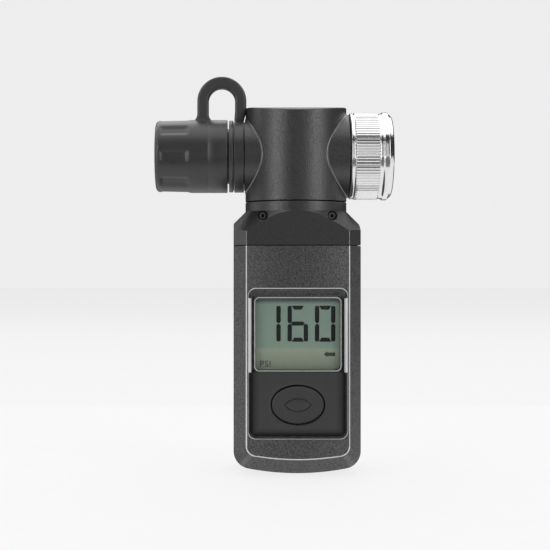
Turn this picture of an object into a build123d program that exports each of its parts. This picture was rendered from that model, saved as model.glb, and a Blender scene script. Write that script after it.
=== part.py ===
"""An inline digital air-pressure gauge for shock absorbers and tyres.

Millimetres. The origin is the centre of the chuck's mouth, where the valve enters, and +X points out of it.
+Z runs up the gauge and its front faces -Y. The head turns about the swivel axis, and both of its ports lie
on the X axis. Heights are measured from that port axis.
"""

import os
from math import cos, pi, radians, sin

from build123d import *

os.makedirs("parts", exist_ok=True)

# --- Driving dimensions -----------------------------------------------------------------------------------

SWIVEL_X = -22.8  # the swivel axis, as seen from the chuck's mouth

# Head and its two port bosses
HEAD_R, HEAD_TOP, HEAD_BOTTOM = 12.15, 11.5, -10.95
CROWN_R, TOP_EDGE_R, BOSS_EDGE_R = 52.0, 0.2, 0.2  # the top is crowned from front to back
PUMP_BOSS_R, PUMP_BOSS_END = 8.9, -12.3
CHUCK_BOSS_R, CHUCK_BOSS_END = 10.0, 12.4
BARREL_R = 6.0  # the metal manifold inside the head
AIRWAY_R = 1.5

# Shoulder, in two halves clamped round the swivel
SEAM_GAP = 0.2
NECK_TOP, CONE_TOP = -11.25, -13.4
SHOULDER_BOTTOM = -21.5
CONE_REACH = 19.0

# Gauge body
HALF_W, HALF_D = 15.0, 12.1
PANEL_HALF_W, BEVEL_Y = 12.05, -7.5
BODY_TOP, BODY_BOTTOM, PANEL_BOTTOM = -21.7, -75.3, -71.5
BOTTOM_SAG, PANEL_SAG = 1.87, 1.2
CORNER_R, PANEL_CORNER_R, BACK_R, CREASE_R = 4.2, 2.4, 3.5, 0.4
WALL, FRONT_WALL = 1.8, 2.2
SPLIT_Y = 2.0  # the joint face between the two housings

# Recess in the front panel, with the window and the keypad
RECESS_HALF_W, RECESS_TOP, RECESS_BOTTOM = 11.56, -31.56, -66.66
RECESS_DEPTH, RECESS_R, RIM_R = 1.5, 1.75, 0.12
RAIL_OUTER, RAIL_INNER, RAIL_SLOPE, RAIL_TOP = 11.45, 10.85, 0.26, -33.9  # the strips beside the window
FLOOR_HALF_W, FLOOR_TOP, FLOOR_BOTTOM, FLOOR_R = 10.9, -33.3, -65.9, 1.4
WINDOW_HALF_W, WINDOW_TOP, WINDOW_BOTTOM, WINDOW_R = 10.16, -33.7, -51.0, 1.26
WINDOW_THICK, LEDGE = 0.8, 0.3
PAD_TOP, PAD_THICK = -51.2, 0.9
BUTTON_Z, BUTTON_RX, BUTTON_RZ = -58.8, 6.05, 4.4
BUTTON_GROOVE, BUTTON_TRAVEL = 0.3, 0.6

# Display, board and battery behind the panel
LCD_HALF_W, LCD_TOP, LCD_BOTTOM, LCD_THICK = 11.0, -32.8, -52.8, 1.8
BOARD_FRONT, BOARD_THICK, BOARD_HALF_W = -6.0, 1.0, 12.2
BOARD_TOP, BOARD_BOTTOM = -30.2, -65.6
CELL_Z, CELL_R, CELL_THICK, CELL_FRONT = -52.0, 10.0, 3.2, 5.0
COVER_R, COVER_THICK, PLUG_R, PLUG_FRONT = 11.0, 1.1, 10.3, 8.8
FIT = 0.05  # running clearance on a radius
FLOOR_Y = -HALF_D + RECESS_DEPTH

# Screws
SHOULDER_SCREW_X, SHOULDER_SCREW_Z = 8.15, -14.6
CASE_SCREWS = [(9.0, -27.3), (-9.0, -27.3), (9.0, -68.5), (-9.0, -68.5)]

# Swivel
SOCKET_R, SOCKET_TOP, SOCKET_FLOOR = 7.0, -13.7, -19.3
SPIGOT_R, COLLET_R, NOZZLE_R = 4.5, 4.9, 1.6

# Ports, along the X axis from the swivel axis
VALVE_R = 3.85  # outer radius of the standard tyre-valve thread
FLANGE_R, RING_R, CAP_R = 8.65, 8.7, 8.77
HUB_R, HUB_END, RING_END, FLANGE_END = 6.5, -12.3, -14.87, -16.1
STEM_END, CAP_OPEN, CAP_CLOSED = -28.1, -16.5, -33.7
GRIPS, GRIP_DEPTH, GRIP_ANGLE, GRIP_TURN = 8, 0.45, 23.0, -3.0
LOOP_X, LOOP_Z, LOOP_R, LOOP_BAND, LOOP_DEPTH = -17.85, 13.2, 5.9, 2.8, 4.0
COLLAR_BACK, COLLAR_R, COLLAR_CAVITY_R = 12.6, 10.4, 7.2
THREAD_BACK, THREAD_RELIEF_R = 16.8, 4.5
INSERT_BACK, NOSE_R, NOSE_FLANGE_R = 15.3, 5.0, 6.8
MOUTH = -SWIVEL_X

# Planes and axes: SIDE holds (distance from the swivel axis, height), FLAT(h) holds (that distance, y)
SIDE = Plane(origin=(SWIVEL_X, 0, 0), x_dir=(1, 0, 0), z_dir=(0, -1, 0))
SWIVEL = Axis((SWIVEL_X, 0, 0), (0, 0, 1))


def flat(height):
    """The horizontal plane at a height, centred on the swivel axis."""
    return Plane(origin=(SWIVEL_X, 0, height), x_dir=(1, 0, 0), z_dir=(0, 0, 1))


def facing(y, height=0.0):
    """An upright plane at a depth, facing forward, centred on the gauge at a height."""
    return Plane(origin=(SWIVEL_X, y, height), x_dir=(1, 0, 0), z_dir=(0, -1, 0))


def outline(plane, *points):
    """A closed straight-sided outline on a plane."""
    with BuildSketch(plane) as sketch:
        with BuildLine():
            Polyline(*points, close=True)
        make_face()
    return sketch.sketch


def rectangle(plane, half_w, top, bottom, corner_r):
    """An upright rectangle with round corners, between two heights."""
    with BuildSketch(plane) as sketch:
        with Locations((0, (top + bottom) / 2)):
            RectangleRounded(2 * half_w, top - bottom, corner_r)
    return sketch.sketch


def disc(plane, r, centre=(0, 0)):
    """A circle on a plane."""
    with BuildSketch(plane) as sketch:
        with Locations(centre):
            Circle(r)
    return sketch.sketch


def ellipse(plane, rx, rz):
    """An ellipse on a plane."""
    with BuildSketch(plane) as sketch:
        Ellipse(rx, rz)
    return sketch.sketch


def ring_along_x(start, end, outer, inner):
    """The half-section of a ring about the port axis, between two distances from the swivel axis."""
    return outline(SIDE, (start, inner), (end, inner), (end, outer), (start, outer))


def ring_along_z(bottom, top, outer, inner):
    """The half-section of a ring about the swivel axis, between two heights."""
    return outline(SIDE, (inner, bottom), (outer, bottom), (outer, top), (inner, top))


def body_face(y, half_w, top, bottom, sag, corner_r):
    """The body's outline at one depth: straight sides, a gently curved bottom and round lower corners."""
    with BuildSketch(facing(y)) as sketch:
        with BuildLine():
            Line((-half_w, top), (-half_w, bottom + sag))
            ThreePointArc((-half_w, bottom + sag), (0, bottom), (half_w, bottom + sag))
            Line((half_w, bottom + sag), (half_w, top))
            Line((half_w, top), (-half_w, top))
        make_face()
        fillet(sketch.vertices().group_by(Axis.Y)[0], corner_r)
    return sketch.sketch


def body_form(inset, front_inset, top, crease_r=0.0):
    """The body as a solid: its outer form, or the room inside walls of a given thickness."""
    half_w, bottom = HALF_W - inset, BODY_BOTTOM + inset
    corner = CORNER_R - inset
    front_y = -HALF_D + front_inset
    slope = front_inset / (HALF_D + BEVEL_Y)
    front_half_w = PANEL_HALF_W + slope * (HALF_W - PANEL_HALF_W) - inset
    front_bottom = PANEL_BOTTOM + slope * (BODY_BOTTOM - PANEL_BOTTOM) + inset
    with BuildPart() as form:
        full = body_face(BEVEL_Y, half_w, top, bottom, BOTTOM_SAG, corner)
        panel = body_face(front_y, front_half_w, top, front_bottom, PANEL_SAG, min(PANEL_CORNER_R, corner))
        loft([panel, full])
        if crease_r:
            fillet(form.faces().sort_by(Axis.Y)[0].edges().sort_by(Axis.Z)[:-1], crease_r)
        extrude(full, amount=-(HALF_D - inset - BEVEL_Y))
        back = form.edges().group_by(Axis.Y)[-1].sort_by(Axis.Z)[:-1]
        fillet(back, BACK_R - inset)
    return form.part


def recess_form():
    """The space sunk into the front panel, with sloping walls."""
    rim = rectangle(facing(-HALF_D), RECESS_HALF_W, RECESS_TOP, RECESS_BOTTOM, RECESS_R)
    floor = rectangle(facing(FLOOR_Y), FLOOR_HALF_W, FLOOR_TOP, FLOOR_BOTTOM, FLOOR_R)
    with BuildPart() as form:
        loft([rim, floor])
    return form.part


def seam_edges(builder, y, reach, depth):
    """The outer edges of a shell on its joint face: those beyond a reach from the axis, or below a depth."""
    edges = builder.edges().filter_by(lambda edge: abs(edge.center().Y - y) < 1e-3)
    return edges.filter_by(lambda edge: abs(edge.center().X - SWIVEL_X) > reach or edge.center().Z < depth)


def save(builder, name):
    """Labels a finished piece and writes it out."""
    builder.part.label = name
    export_step(builder.part, f"parts/{name}.step")


WALL_BACK = -HALF_D + FRONT_WALL
BACK_WALL_Y = HALF_D - WALL
ROOM_TOP = BODY_TOP - WALL
BODY_OUTER = body_form(0, 0, BODY_TOP, CREASE_R)
BODY_ROOM = body_form(WALL, FRONT_WALL, ROOM_TOP)

# --- Housings of the gauge body ---------------------------------------------------------------------------

BOSS_R, PILOT_R = 2.6, 0.9
TONGUE_HALF_W, TONGUE_HALF_D, LIP = 9.0, 7.0, 1.0
SEAM_CHAMFER = 0.2  # a fine line where two halves of a shell meet


def tongue_opening():
    """The opening in the top wall that the shoulder's tongue passes through."""
    with BuildSketch(flat(ROOM_TOP)) as sketch:
        Rectangle(2 * TONGUE_HALF_W, 2 * TONGUE_HALF_D)
    return sketch.sketch


with BuildPart() as front_housing:
    add(BODY_OUTER)
    add(BODY_ROOM, mode=Mode.SUBTRACT)
    for x, z in CASE_SCREWS:
        extrude(disc(facing(WALL_BACK), BOSS_R, (x, z)), amount=WALL_BACK - SPLIT_Y)
    split(bisect_by=Plane(origin=(0, SPLIT_Y, 0), z_dir=(0, 1, 0)), keep=Keep.BOTTOM)
    add(recess_form(), mode=Mode.SUBTRACT)
    panel_edges = front_housing.edges().filter_by(lambda edge: abs(edge.center().Y + HALF_D) < 1e-3)
    straight = panel_edges.filter_by(GeomType.LINE) + panel_edges.filter_by(GeomType.CIRCLE)
    fillet(straight.filter_by(lambda edge: RECESS_BOTTOM - 0.1 < edge.center().Z < RECESS_TOP + 0.1), RIM_R)
    rail_front = -HALF_D + 0.04
    for side in (-1, 1):
        rail = outline(
            flat(RAIL_TOP),
            (side * (RECESS_HALF_W + 0.2), FLOOR_Y),
            (side * (RECESS_HALF_W + 0.2), rail_front + 0.2),
            (side * RAIL_OUTER, rail_front),
            (side * RAIL_INNER, rail_front + RAIL_SLOPE),
            (side * RAIL_INNER, FLOOR_Y),
        )
        extrude(rail, amount=PAD_TOP - RAIL_TOP)
    extrude(
        rectangle(facing(FLOOR_Y), WINDOW_HALF_W - LEDGE, WINDOW_TOP - LEDGE, WINDOW_BOTTOM + LEDGE, 1.0),
        amount=-FRONT_WALL,
        mode=Mode.SUBTRACT,
    )
    extrude(
        ellipse(facing(FLOOR_Y, BUTTON_Z), BUTTON_RX + BUTTON_GROOVE, BUTTON_RZ + BUTTON_GROOVE),
        amount=-FRONT_WALL,
        mode=Mode.SUBTRACT,
    )
    extrude(tongue_opening(), amount=WALL, mode=Mode.SUBTRACT)
    for x, z in CASE_SCREWS:
        extrude(disc(facing(SPLIT_Y), PILOT_R, (x, z)), amount=8.0, mode=Mode.SUBTRACT)
    chamfer(seam_edges(front_housing, SPLIT_Y, HALF_W - 0.9, BODY_BOTTOM + 0.9), SEAM_CHAMFER)
save(front_housing, "front_housing")

SCREW_HEAD_R, SCREW_HEAD_Y, SCREW_SEAT_Y = 1.8, 11.6, 10.3
COVER_SEAT_Y = HALF_D - COVER_THICK
COVER_BOSS_R, COVER_BOSS_Y = 12.7, 8.2
BATTERY = (0, CELL_Z)

with BuildPart() as rear_housing:
    add(BODY_OUTER)
    add(BODY_ROOM, mode=Mode.SUBTRACT)
    for x, z in CASE_SCREWS:
        extrude(disc(facing(BACK_WALL_Y), BOSS_R, (x, z)), amount=BACK_WALL_Y - SPLIT_Y)
    extrude(disc(facing(BACK_WALL_Y), COVER_BOSS_R, BATTERY), amount=BACK_WALL_Y - COVER_BOSS_Y)
    split(bisect_by=Plane(origin=(0, SPLIT_Y, 0), z_dir=(0, 1, 0)), keep=Keep.TOP)
    extrude(disc(facing(COVER_BOSS_Y - 1), PLUG_R + FIT, BATTERY), amount=-9.0, mode=Mode.SUBTRACT)
    extrude(disc(facing(COVER_SEAT_Y), COVER_R + FIT, BATTERY), amount=-9.0, mode=Mode.SUBTRACT)
    extrude(tongue_opening(), amount=WALL, mode=Mode.SUBTRACT)
    for x, z in CASE_SCREWS:
        extrude(disc(facing(SPLIT_Y - 1), PILOT_R, (x, z)), amount=-20.0, mode=Mode.SUBTRACT)
        extrude(disc(facing(SCREW_SEAT_Y), SCREW_HEAD_R, (x, z)), amount=-9.0, mode=Mode.SUBTRACT)
    chamfer(seam_edges(rear_housing, SPLIT_Y, HALF_W - 0.9, BODY_BOTTOM + 0.9), SEAM_CHAMFER)
save(rear_housing, "rear_housing")

with BuildPart() as case_screws:
    for x, z in CASE_SCREWS:
        extrude(disc(facing(SCREW_HEAD_Y), SCREW_HEAD_R, (x, z)), amount=SCREW_HEAD_Y - SCREW_SEAT_Y)
        extrude(disc(facing(SCREW_SEAT_Y), PILOT_R, (x, z)), amount=SCREW_SEAT_Y + 4.0)
        with BuildSketch(facing(SCREW_HEAD_Y)):
            with Locations((x, z)):
                Rectangle(2.2, 0.5)
                Rectangle(0.5, 2.2)
        extrude(amount=0.7, mode=Mode.SUBTRACT)
save(case_screws, "case_screws")

# --- Shoulder ---------------------------------------------------------------------------------------------

SOCKET_FLANGE_R, SOCKET_FLANGE_TOP, SOCKET_FLANGE_BOTTOM = 9.0, -16.5, -17.5
SOCKET_BOTTOM = -21.2
SHOULDER_SCREW_R, SHOULDER_HEAD_R, SHOULDER_HEAD_SEAT = 0.75, 1.15, -8.0
COLLET_TOP = -12.75


def shoulder_form():
    """Both halves as one solid: neck, cone trimmed to the body's section, and the tongue below."""
    with BuildPart() as form:
        with BuildSketch(SIDE):
            with BuildLine():
                Polyline(
                    (0, CONE_TOP),
                    (HEAD_R, CONE_TOP),
                    (CONE_REACH, CONE_TOP - (CONE_REACH - HEAD_R)),
                    (CONE_REACH, SHOULDER_BOTTOM),
                    (0, SHOULDER_BOTTOM),
                    close=True,
                )
            make_face()
        revolve(axis=SWIVEL)
        add(body_form(0, 0, HEAD_TOP, CREASE_R), mode=Mode.INTERSECT)
        revolve(ring_along_z(CONE_TOP, NECK_TOP, HEAD_R, 0), axis=SWIVEL)
        with BuildSketch(flat(SHOULDER_BOTTOM)):
            Rectangle(2 * TONGUE_HALF_W, 2 * TONGUE_HALF_D)
        extrude(amount=-(WALL + SEAM_GAP))
        with BuildSketch(flat(ROOM_TOP)):
            Rectangle(2 * (TONGUE_HALF_W + LIP), 2 * (TONGUE_HALF_D + LIP))
        extrude(amount=-LIP)
        socket_room = outline(
            SIDE,
            (0, NECK_TOP),
            (COLLET_R + FIT, NECK_TOP),
            (COLLET_R + FIT, COLLET_TOP),
            (SOCKET_R, COLLET_TOP),
            (SOCKET_R, SOCKET_FLANGE_TOP),
            (SOCKET_FLANGE_R, SOCKET_FLANGE_TOP),
            (SOCKET_FLANGE_R, SOCKET_FLANGE_BOTTOM),
            (SOCKET_R, SOCKET_FLANGE_BOTTOM),
            (SOCKET_R, SOCKET_BOTTOM),
            (NOZZLE_R + 0.6, SOCKET_BOTTOM),
            (NOZZLE_R + 0.6, ROOM_TOP - LIP),
            (0, ROOM_TOP - LIP),
        )
        revolve(socket_room, axis=SWIVEL, mode=Mode.SUBTRACT)
        for side in (-1, 1):
            spot = (side * SHOULDER_SCREW_X, SHOULDER_SCREW_Z)
            extrude(disc(facing(5.0), SHOULDER_SCREW_R, spot), amount=20.0, mode=Mode.SUBTRACT)
            extrude(disc(facing(SHOULDER_HEAD_SEAT), SHOULDER_HEAD_R, spot), amount=20.0, mode=Mode.SUBTRACT)
    return form.part


SHOULDER = shoulder_form()

with BuildPart() as shoulder_front:
    add(SHOULDER)
    split(bisect_by=Plane.XZ, keep=Keep.TOP)
    chamfer(seam_edges(shoulder_front, 0, HEAD_R - 0.4, BODY_BOTTOM), SEAM_CHAMFER)
save(shoulder_front, "shoulder_front")

with BuildPart() as shoulder_rear:
    add(SHOULDER)
    split(bisect_by=Plane.XZ, keep=Keep.BOTTOM)
    chamfer(seam_edges(shoulder_rear, 0, HEAD_R - 0.4, BODY_BOTTOM), SEAM_CHAMFER)
save(shoulder_rear, "shoulder_rear")

with BuildPart() as shoulder_screws:
    for side in (-1, 1):
        spot = (side * SHOULDER_SCREW_X, SHOULDER_SCREW_Z)
        extrude(disc(facing(5.0), SHOULDER_SCREW_R, spot), amount=5.0 - SHOULDER_HEAD_SEAT)
        extrude(disc(facing(SHOULDER_HEAD_SEAT), SHOULDER_HEAD_R, spot), amount=0.9)
        with BuildSketch(facing(SHOULDER_HEAD_SEAT - 0.9)):
            with Locations(spot):
                RegularPolygon(0.55, 6)
        extrude(amount=-0.6, mode=Mode.SUBTRACT)
save(shoulder_screws, "shoulder_screws")

# --- Display, keypad and electronics ----------------------------------------------------------------------

with BuildPart() as display_window:
    window = rectangle(facing(FLOOR_Y), WINDOW_HALF_W, WINDOW_TOP, WINDOW_BOTTOM, WINDOW_R)
    extrude(window, amount=WINDOW_THICK)
    chamfer(display_window.faces().sort_by(Axis.Y)[0].edges(), 0.2)
save(display_window, "display_window")

with BuildPart() as lcd_panel:
    extrude(rectangle(facing(WALL_BACK), LCD_HALF_W, LCD_TOP, LCD_BOTTOM, 0.3), amount=-LCD_THICK)
save(lcd_panel, "lcd_panel")

with BuildPart() as lcd_connector:
    strip_front = WALL_BACK + LCD_THICK
    with BuildSketch(facing(strip_front)):
        with Locations((0, LCD_TOP - 1.2)):
            Rectangle(20.0, 1.8)
    extrude(amount=strip_front - BOARD_FRONT)
save(lcd_connector, "lcd_connector")

with BuildPart() as keypad_pad:
    add(recess_form())
    with BuildSketch(facing(FLOOR_Y)):
        with Locations((0, (PAD_TOP + RECESS_BOTTOM) / 2)):
            Rectangle(2 * HALF_W, PAD_TOP - RECESS_BOTTOM)
    extrude(amount=PAD_THICK, mode=Mode.INTERSECT)
    groove = ellipse(facing(FLOOR_Y, BUTTON_Z), BUTTON_RX + BUTTON_GROOVE, BUTTON_RZ + BUTTON_GROOVE)
    extrude(groove, amount=PAD_THICK, mode=Mode.SUBTRACT)
save(keypad_pad, "keypad_pad")

BUTTON_FRONT = FLOOR_Y - PAD_THICK
BUTTON_FLANGE_Y = (WALL_BACK + 0.1, WALL_BACK + 0.7)
DOME_THICK = 0.6

with BuildPart() as mode_button:
    extrude(
        ellipse(facing(BUTTON_FLANGE_Y[0], BUTTON_Z), BUTTON_RX, BUTTON_RZ),
        amount=BUTTON_FLANGE_Y[0] - BUTTON_FRONT,
    )
    fillet(mode_button.faces().sort_by(Axis.Y)[0].edges(), 0.3)
    extrude(
        ellipse(facing(BUTTON_FLANGE_Y[1], BUTTON_Z), BUTTON_RX + 1.1, BUTTON_RZ + 0.9),
        amount=BUTTON_FLANGE_Y[1] - BUTTON_FLANGE_Y[0],
    )
    plunger_end = BOARD_FRONT - DOME_THICK - BUTTON_TRAVEL - FIT
    extrude(disc(facing(plunger_end, BUTTON_Z), 1.2), amount=plunger_end - BUTTON_FLANGE_Y[1])
save(mode_button, "mode_button")

with BuildPart() as dome_switch:
    extrude(disc(facing(BOARD_FRONT, BUTTON_Z), 3.0), amount=DOME_THICK)
    fillet(dome_switch.faces().sort_by(Axis.Y)[0].edges(), 0.4)
save(dome_switch, "dome_switch")

with BuildPart() as circuit_board:
    board = rectangle(facing(BOARD_FRONT), BOARD_HALF_W, BOARD_TOP, BOARD_BOTTOM, 1.0)
    extrude(board, amount=-BOARD_THICK)
save(circuit_board, "circuit_board")

BOARD_BACK = BOARD_FRONT + BOARD_THICK

with BuildPart() as control_chip:
    with BuildSketch(facing(BOARD_BACK)):
        with Locations((-6.0, -36.5)):
            Rectangle(6.0, 6.0)
    extrude(amount=-1.1)
    chamfer(control_chip.faces().sort_by(Axis.Y)[-1].edges(), 0.2)
save(control_chip, "control_chip")

SENSOR_R, SENSOR_TOP, SENSOR_BOTTOM = 4.0, -26.4, -32.6
SENSOR_PINS_Z = -31.0

with BuildPart() as pressure_sensor:
    revolve(ring_along_z(SENSOR_BOTTOM, SENSOR_TOP, SENSOR_R, 0), axis=SWIVEL)
    fillet(pressure_sensor.edges().filter_by(GeomType.CIRCLE), 0.4)
    for x in (-2.4, -0.8, 0.8, 2.4):
        extrude(disc(facing(0), 0.25, (x, SENSOR_PINS_Z)), amount=-BOARD_BACK)
    revolve(ring_along_z(SENSOR_TOP - 1.0, SENSOR_TOP + 1, NOZZLE_R, 0), axis=SWIVEL, mode=Mode.SUBTRACT)
save(pressure_sensor, "pressure_sensor")

with BuildPart() as sensor_seal:
    revolve(ring_along_z(SENSOR_TOP, SENSOR_TOP + 0.9, 2.8, NOZZLE_R), axis=SWIVEL)
save(sensor_seal, "sensor_seal")

TRAY_R, TRAY_FLOOR = 11.6, 3.6
CONTACT_THICK = 0.3

with BuildPart() as battery_tray:
    extrude(disc(facing(BOARD_BACK), TRAY_R, BATTERY), amount=-(COVER_BOSS_Y - BOARD_BACK))
    extrude(disc(facing(TRAY_FLOOR), CELL_R + 0.1, BATTERY), amount=-20.0, mode=Mode.SUBTRACT)
    under_floor = disc(facing(BOARD_BACK), TRAY_R - 1.3, BATTERY)
    extrude(under_floor, amount=-(TRAY_FLOOR - 1.0 - BOARD_BACK), mode=Mode.SUBTRACT)
save(battery_tray, "battery_tray")

with BuildPart() as coin_cell:
    extrude(disc(facing(CELL_FRONT), 8.8, BATTERY), amount=-0.4)
    extrude(disc(facing(CELL_FRONT + 0.4), CELL_R, BATTERY), amount=-(CELL_THICK - 0.4))
    fillet(coin_cell.faces().sort_by(Axis.Y)[-1].edges(), 0.3)
save(coin_cell, "coin_cell")

with BuildPart() as battery_contacts:
    with BuildSketch(facing(TRAY_FLOOR)):
        with Locations(BATTERY):
            Rectangle(12.0, 3.0)
    extrude(amount=-CONTACT_THICK)
    for side in (-1, 1):
        with BuildSketch(facing(TRAY_FLOOR + CONTACT_THICK)):
            with Locations((side * 4.5, CELL_Z)):
                Rectangle(3.0, 3.0)
        extrude(amount=-(CELL_FRONT - TRAY_FLOOR - CONTACT_THICK))
save(battery_contacts, "battery_contacts")

# --- Battery cover on the back ----------------------------------------------------------------------------

SEAL_GROOVE_R, SEAL_Y, SEAL_WIRE_R = 9.45, 10.0, 0.4
COIN_SLOT = (12.0, 1.8)

with BuildPart() as battery_cover:
    extrude(disc(facing(COVER_SEAT_Y), COVER_R, BATTERY), amount=-COVER_THICK)
    extrude(disc(facing(PLUG_FRONT), PLUG_R, BATTERY), amount=-(COVER_SEAT_Y - PLUG_FRONT))
    with BuildSketch(facing(SEAL_Y + 0.5)) as groove_ring:
        with Locations(BATTERY):
            Circle(PLUG_R + 1)
            Circle(SEAL_GROOVE_R, mode=Mode.SUBTRACT)
    extrude(amount=1.0, mode=Mode.SUBTRACT)
    with BuildSketch(facing(HALF_D)):
        with Locations(BATTERY):
            SlotOverall(*COIN_SLOT)
    extrude(amount=1.2, dir=(0, -1, 0), mode=Mode.SUBTRACT)
    rim = battery_cover.faces().sort_by(Axis.Y)[-1].edges().filter_by(GeomType.CIRCLE)
    chamfer(rim.sort_by(SortBy.RADIUS)[-1], 0.3)
save(battery_cover, "battery_cover")

with BuildPart() as battery_cover_seal:
    with BuildSketch(Plane(origin=(SWIVEL_X, SEAL_Y, CELL_Z), x_dir=(1, 0, 0), z_dir=(0, 0, 1))):
        with Locations((SEAL_GROOVE_R + FIT + SEAL_WIRE_R, 0)):
            Circle(SEAL_WIRE_R)
    revolve(axis=Axis((SWIVEL_X, 0, CELL_Z), (0, 1, 0)))
save(battery_cover_seal, "battery_cover_seal")

# --- Swivel between the head and the body -----------------------------------------------------------------

O_RING_HEIGHTS, O_RING_WIRE_R, GROOVE_R, GROOVE_HALF = (-15.4, -17.6), 0.5, 3.45, 0.6
SPIGOT_BOTTOM, WASHER_BOTTOM = -19.0, -13.1
SPIGOT_SHOULDER, SPIGOT_SCREW_R, SPIGOT_SCREW_TOP = -6.6, 3.5, -2.6

with BuildPart() as swivel_socket:
    revolve(ring_along_z(SOCKET_BOTTOM, SOCKET_TOP, SOCKET_R, 0), axis=SWIVEL)
    revolve(ring_along_z(SOCKET_FLANGE_BOTTOM, SOCKET_FLANGE_TOP, SOCKET_FLANGE_R, 0), axis=SWIVEL)
    revolve(ring_along_z(SENSOR_TOP - 0.6, SOCKET_BOTTOM, NOZZLE_R, 0), axis=SWIVEL)
    revolve(ring_along_z(SOCKET_FLOOR, SOCKET_TOP, SPIGOT_R + FIT, 0), axis=SWIVEL, mode=Mode.SUBTRACT)
    revolve(ring_along_z(SENSOR_TOP - 0.6, SOCKET_FLOOR, 0.6, 0), axis=SWIVEL, mode=Mode.SUBTRACT)
save(swivel_socket, "swivel_socket")

with BuildPart() as swivel_spigot:
    spigot_steps = outline(
        SIDE,
        (0, SPIGOT_SCREW_TOP),
        (SPIGOT_SCREW_R, SPIGOT_SCREW_TOP),
        (SPIGOT_SCREW_R, SPIGOT_SHOULDER),
        (BARREL_R, SPIGOT_SHOULDER),
        (BARREL_R, HEAD_BOTTOM),
        (COLLET_R, HEAD_BOTTOM),
        (COLLET_R, WASHER_BOTTOM),
        (SOCKET_R - 0.6, WASHER_BOTTOM),
        (SOCKET_R - 0.6, SOCKET_TOP + FIT),
        (SPIGOT_R, SOCKET_TOP + FIT),
        (SPIGOT_R, SPIGOT_BOTTOM),
        (0, SPIGOT_BOTTOM),
    )
    revolve(spigot_steps, axis=SWIVEL)
    for z in O_RING_HEIGHTS:
        groove_section = ring_along_z(z - GROOVE_HALF, z + GROOVE_HALF, SPIGOT_R + 1, GROOVE_R)
        revolve(groove_section, axis=SWIVEL, mode=Mode.SUBTRACT)
    revolve(ring_along_z(SPIGOT_BOTTOM, 0, 1.25, 0), axis=SWIVEL, mode=Mode.SUBTRACT)
save(swivel_spigot, "swivel_spigot")

with BuildPart() as swivel_o_rings:
    for z in O_RING_HEIGHTS:
        with BuildSketch(SIDE):
            with Locations((GROOVE_R + FIT + O_RING_WIRE_R, z)):
                Circle(O_RING_WIRE_R)
        revolve(axis=SWIVEL)
save(swivel_o_rings, "swivel_o_rings")

with BuildPart() as swivel_washer:
    revolve(ring_along_z(WASHER_BOTTOM, COLLET_TOP - FIT, SOCKET_R - 0.6, COLLET_R), axis=SWIVEL)
save(swivel_washer, "swivel_washer")

# --- Head -------------------------------------------------------------------------------------------------

STEM_SOCKET_R, STEM_SOCKET_END = 4.4, -7.0
SEAL_R, SEAL_BACK, SEAL_FRONT = 3.4, 14.4, 15.7
NOSE_END, COLLAR_WALL_END = 14.2, 14.1  # the nose's flange turns just in front of the collar's back wall

with BuildPart() as head_shell:
    revolve(ring_along_z(HEAD_BOTTOM, HEAD_TOP, HEAD_R, 0), axis=SWIVEL)
    with BuildSketch(Plane.YZ.offset(SWIVEL_X)):
        with Locations((0, HEAD_TOP - CROWN_R)):
            Circle(CROWN_R)
    extrude(amount=HEAD_R + 1, both=True, mode=Mode.INTERSECT)
    fillet(head_shell.faces().sort_by(Axis.Z)[-1].edges(), TOP_EDGE_R)
    revolve(ring_along_x(PUMP_BOSS_END, 0, PUMP_BOSS_R, 0), axis=Axis.X)
    revolve(ring_along_x(0, CHUCK_BOSS_END, CHUCK_BOSS_R, 0), axis=Axis.X)
    meeting = head_shell.edges().filter_by(GeomType.BSPLINE)
    fillet(meeting.filter_by(lambda edge: HEAD_R < edge.length < 5 * HEAD_R), BOSS_EDGE_R)
    revolve(ring_along_x(PUMP_BOSS_END, CHUCK_BOSS_END, BARREL_R, 0), axis=Axis.X, mode=Mode.SUBTRACT)
    revolve(ring_along_z(HEAD_BOTTOM, 0, BARREL_R, 0), axis=SWIVEL, mode=Mode.SUBTRACT)
save(head_shell, "head_shell")

with BuildPart() as air_manifold:
    revolve(ring_along_x(PUMP_BOSS_END, CHUCK_BOSS_END, BARREL_R, 0), axis=Axis.X)
    revolve(ring_along_x(CHUCK_BOSS_END, NOSE_END, NOSE_R, 0), axis=Axis.X)
    revolve(ring_along_x(NOSE_END, INSERT_BACK - 0.1, NOSE_FLANGE_R, 0), axis=Axis.X)
    revolve(ring_along_x(PUMP_BOSS_END, INSERT_BACK, AIRWAY_R, 0), axis=Axis.X, mode=Mode.SUBTRACT)
    revolve(ring_along_x(PUMP_BOSS_END, STEM_SOCKET_END, STEM_SOCKET_R, 0), axis=Axis.X, mode=Mode.SUBTRACT)
    revolve(ring_along_x(SEAL_BACK, INSERT_BACK, SEAL_R, 0), axis=Axis.X, mode=Mode.SUBTRACT)
    revolve(ring_along_z(-BARREL_R - 1, SPIGOT_SCREW_TOP, SPIGOT_SCREW_R, 0), axis=SWIVEL, mode=Mode.SUBTRACT)
    revolve(ring_along_z(SPIGOT_SCREW_TOP, 0, 1.25, 0), axis=SWIVEL, mode=Mode.SUBTRACT)
save(air_manifold, "air_manifold")

# --- Pump side: hub, valve stem and valve core ------------------------------------------------------------

STEM_BORE_R, SPRING_SEAT, STEM_AIRWAY_R = 2.6, -17.2, 1.2
REGISTER_R, REGISTER_LENGTH = 6.6, 1.3  # the step that the cap's mouth slips over
THRUST_R = 8.25  # the two steps that the tether's ring turns between
RING_START = -12.55
CORE_START, CORE_END, CORE_BORE_R = -26.0, -22.6, 1.0
PIN_R, PIN_TIP, PIN_DISC_R, PIN_DISC_END = 0.65, -27.6, 1.9, -21.8

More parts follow.
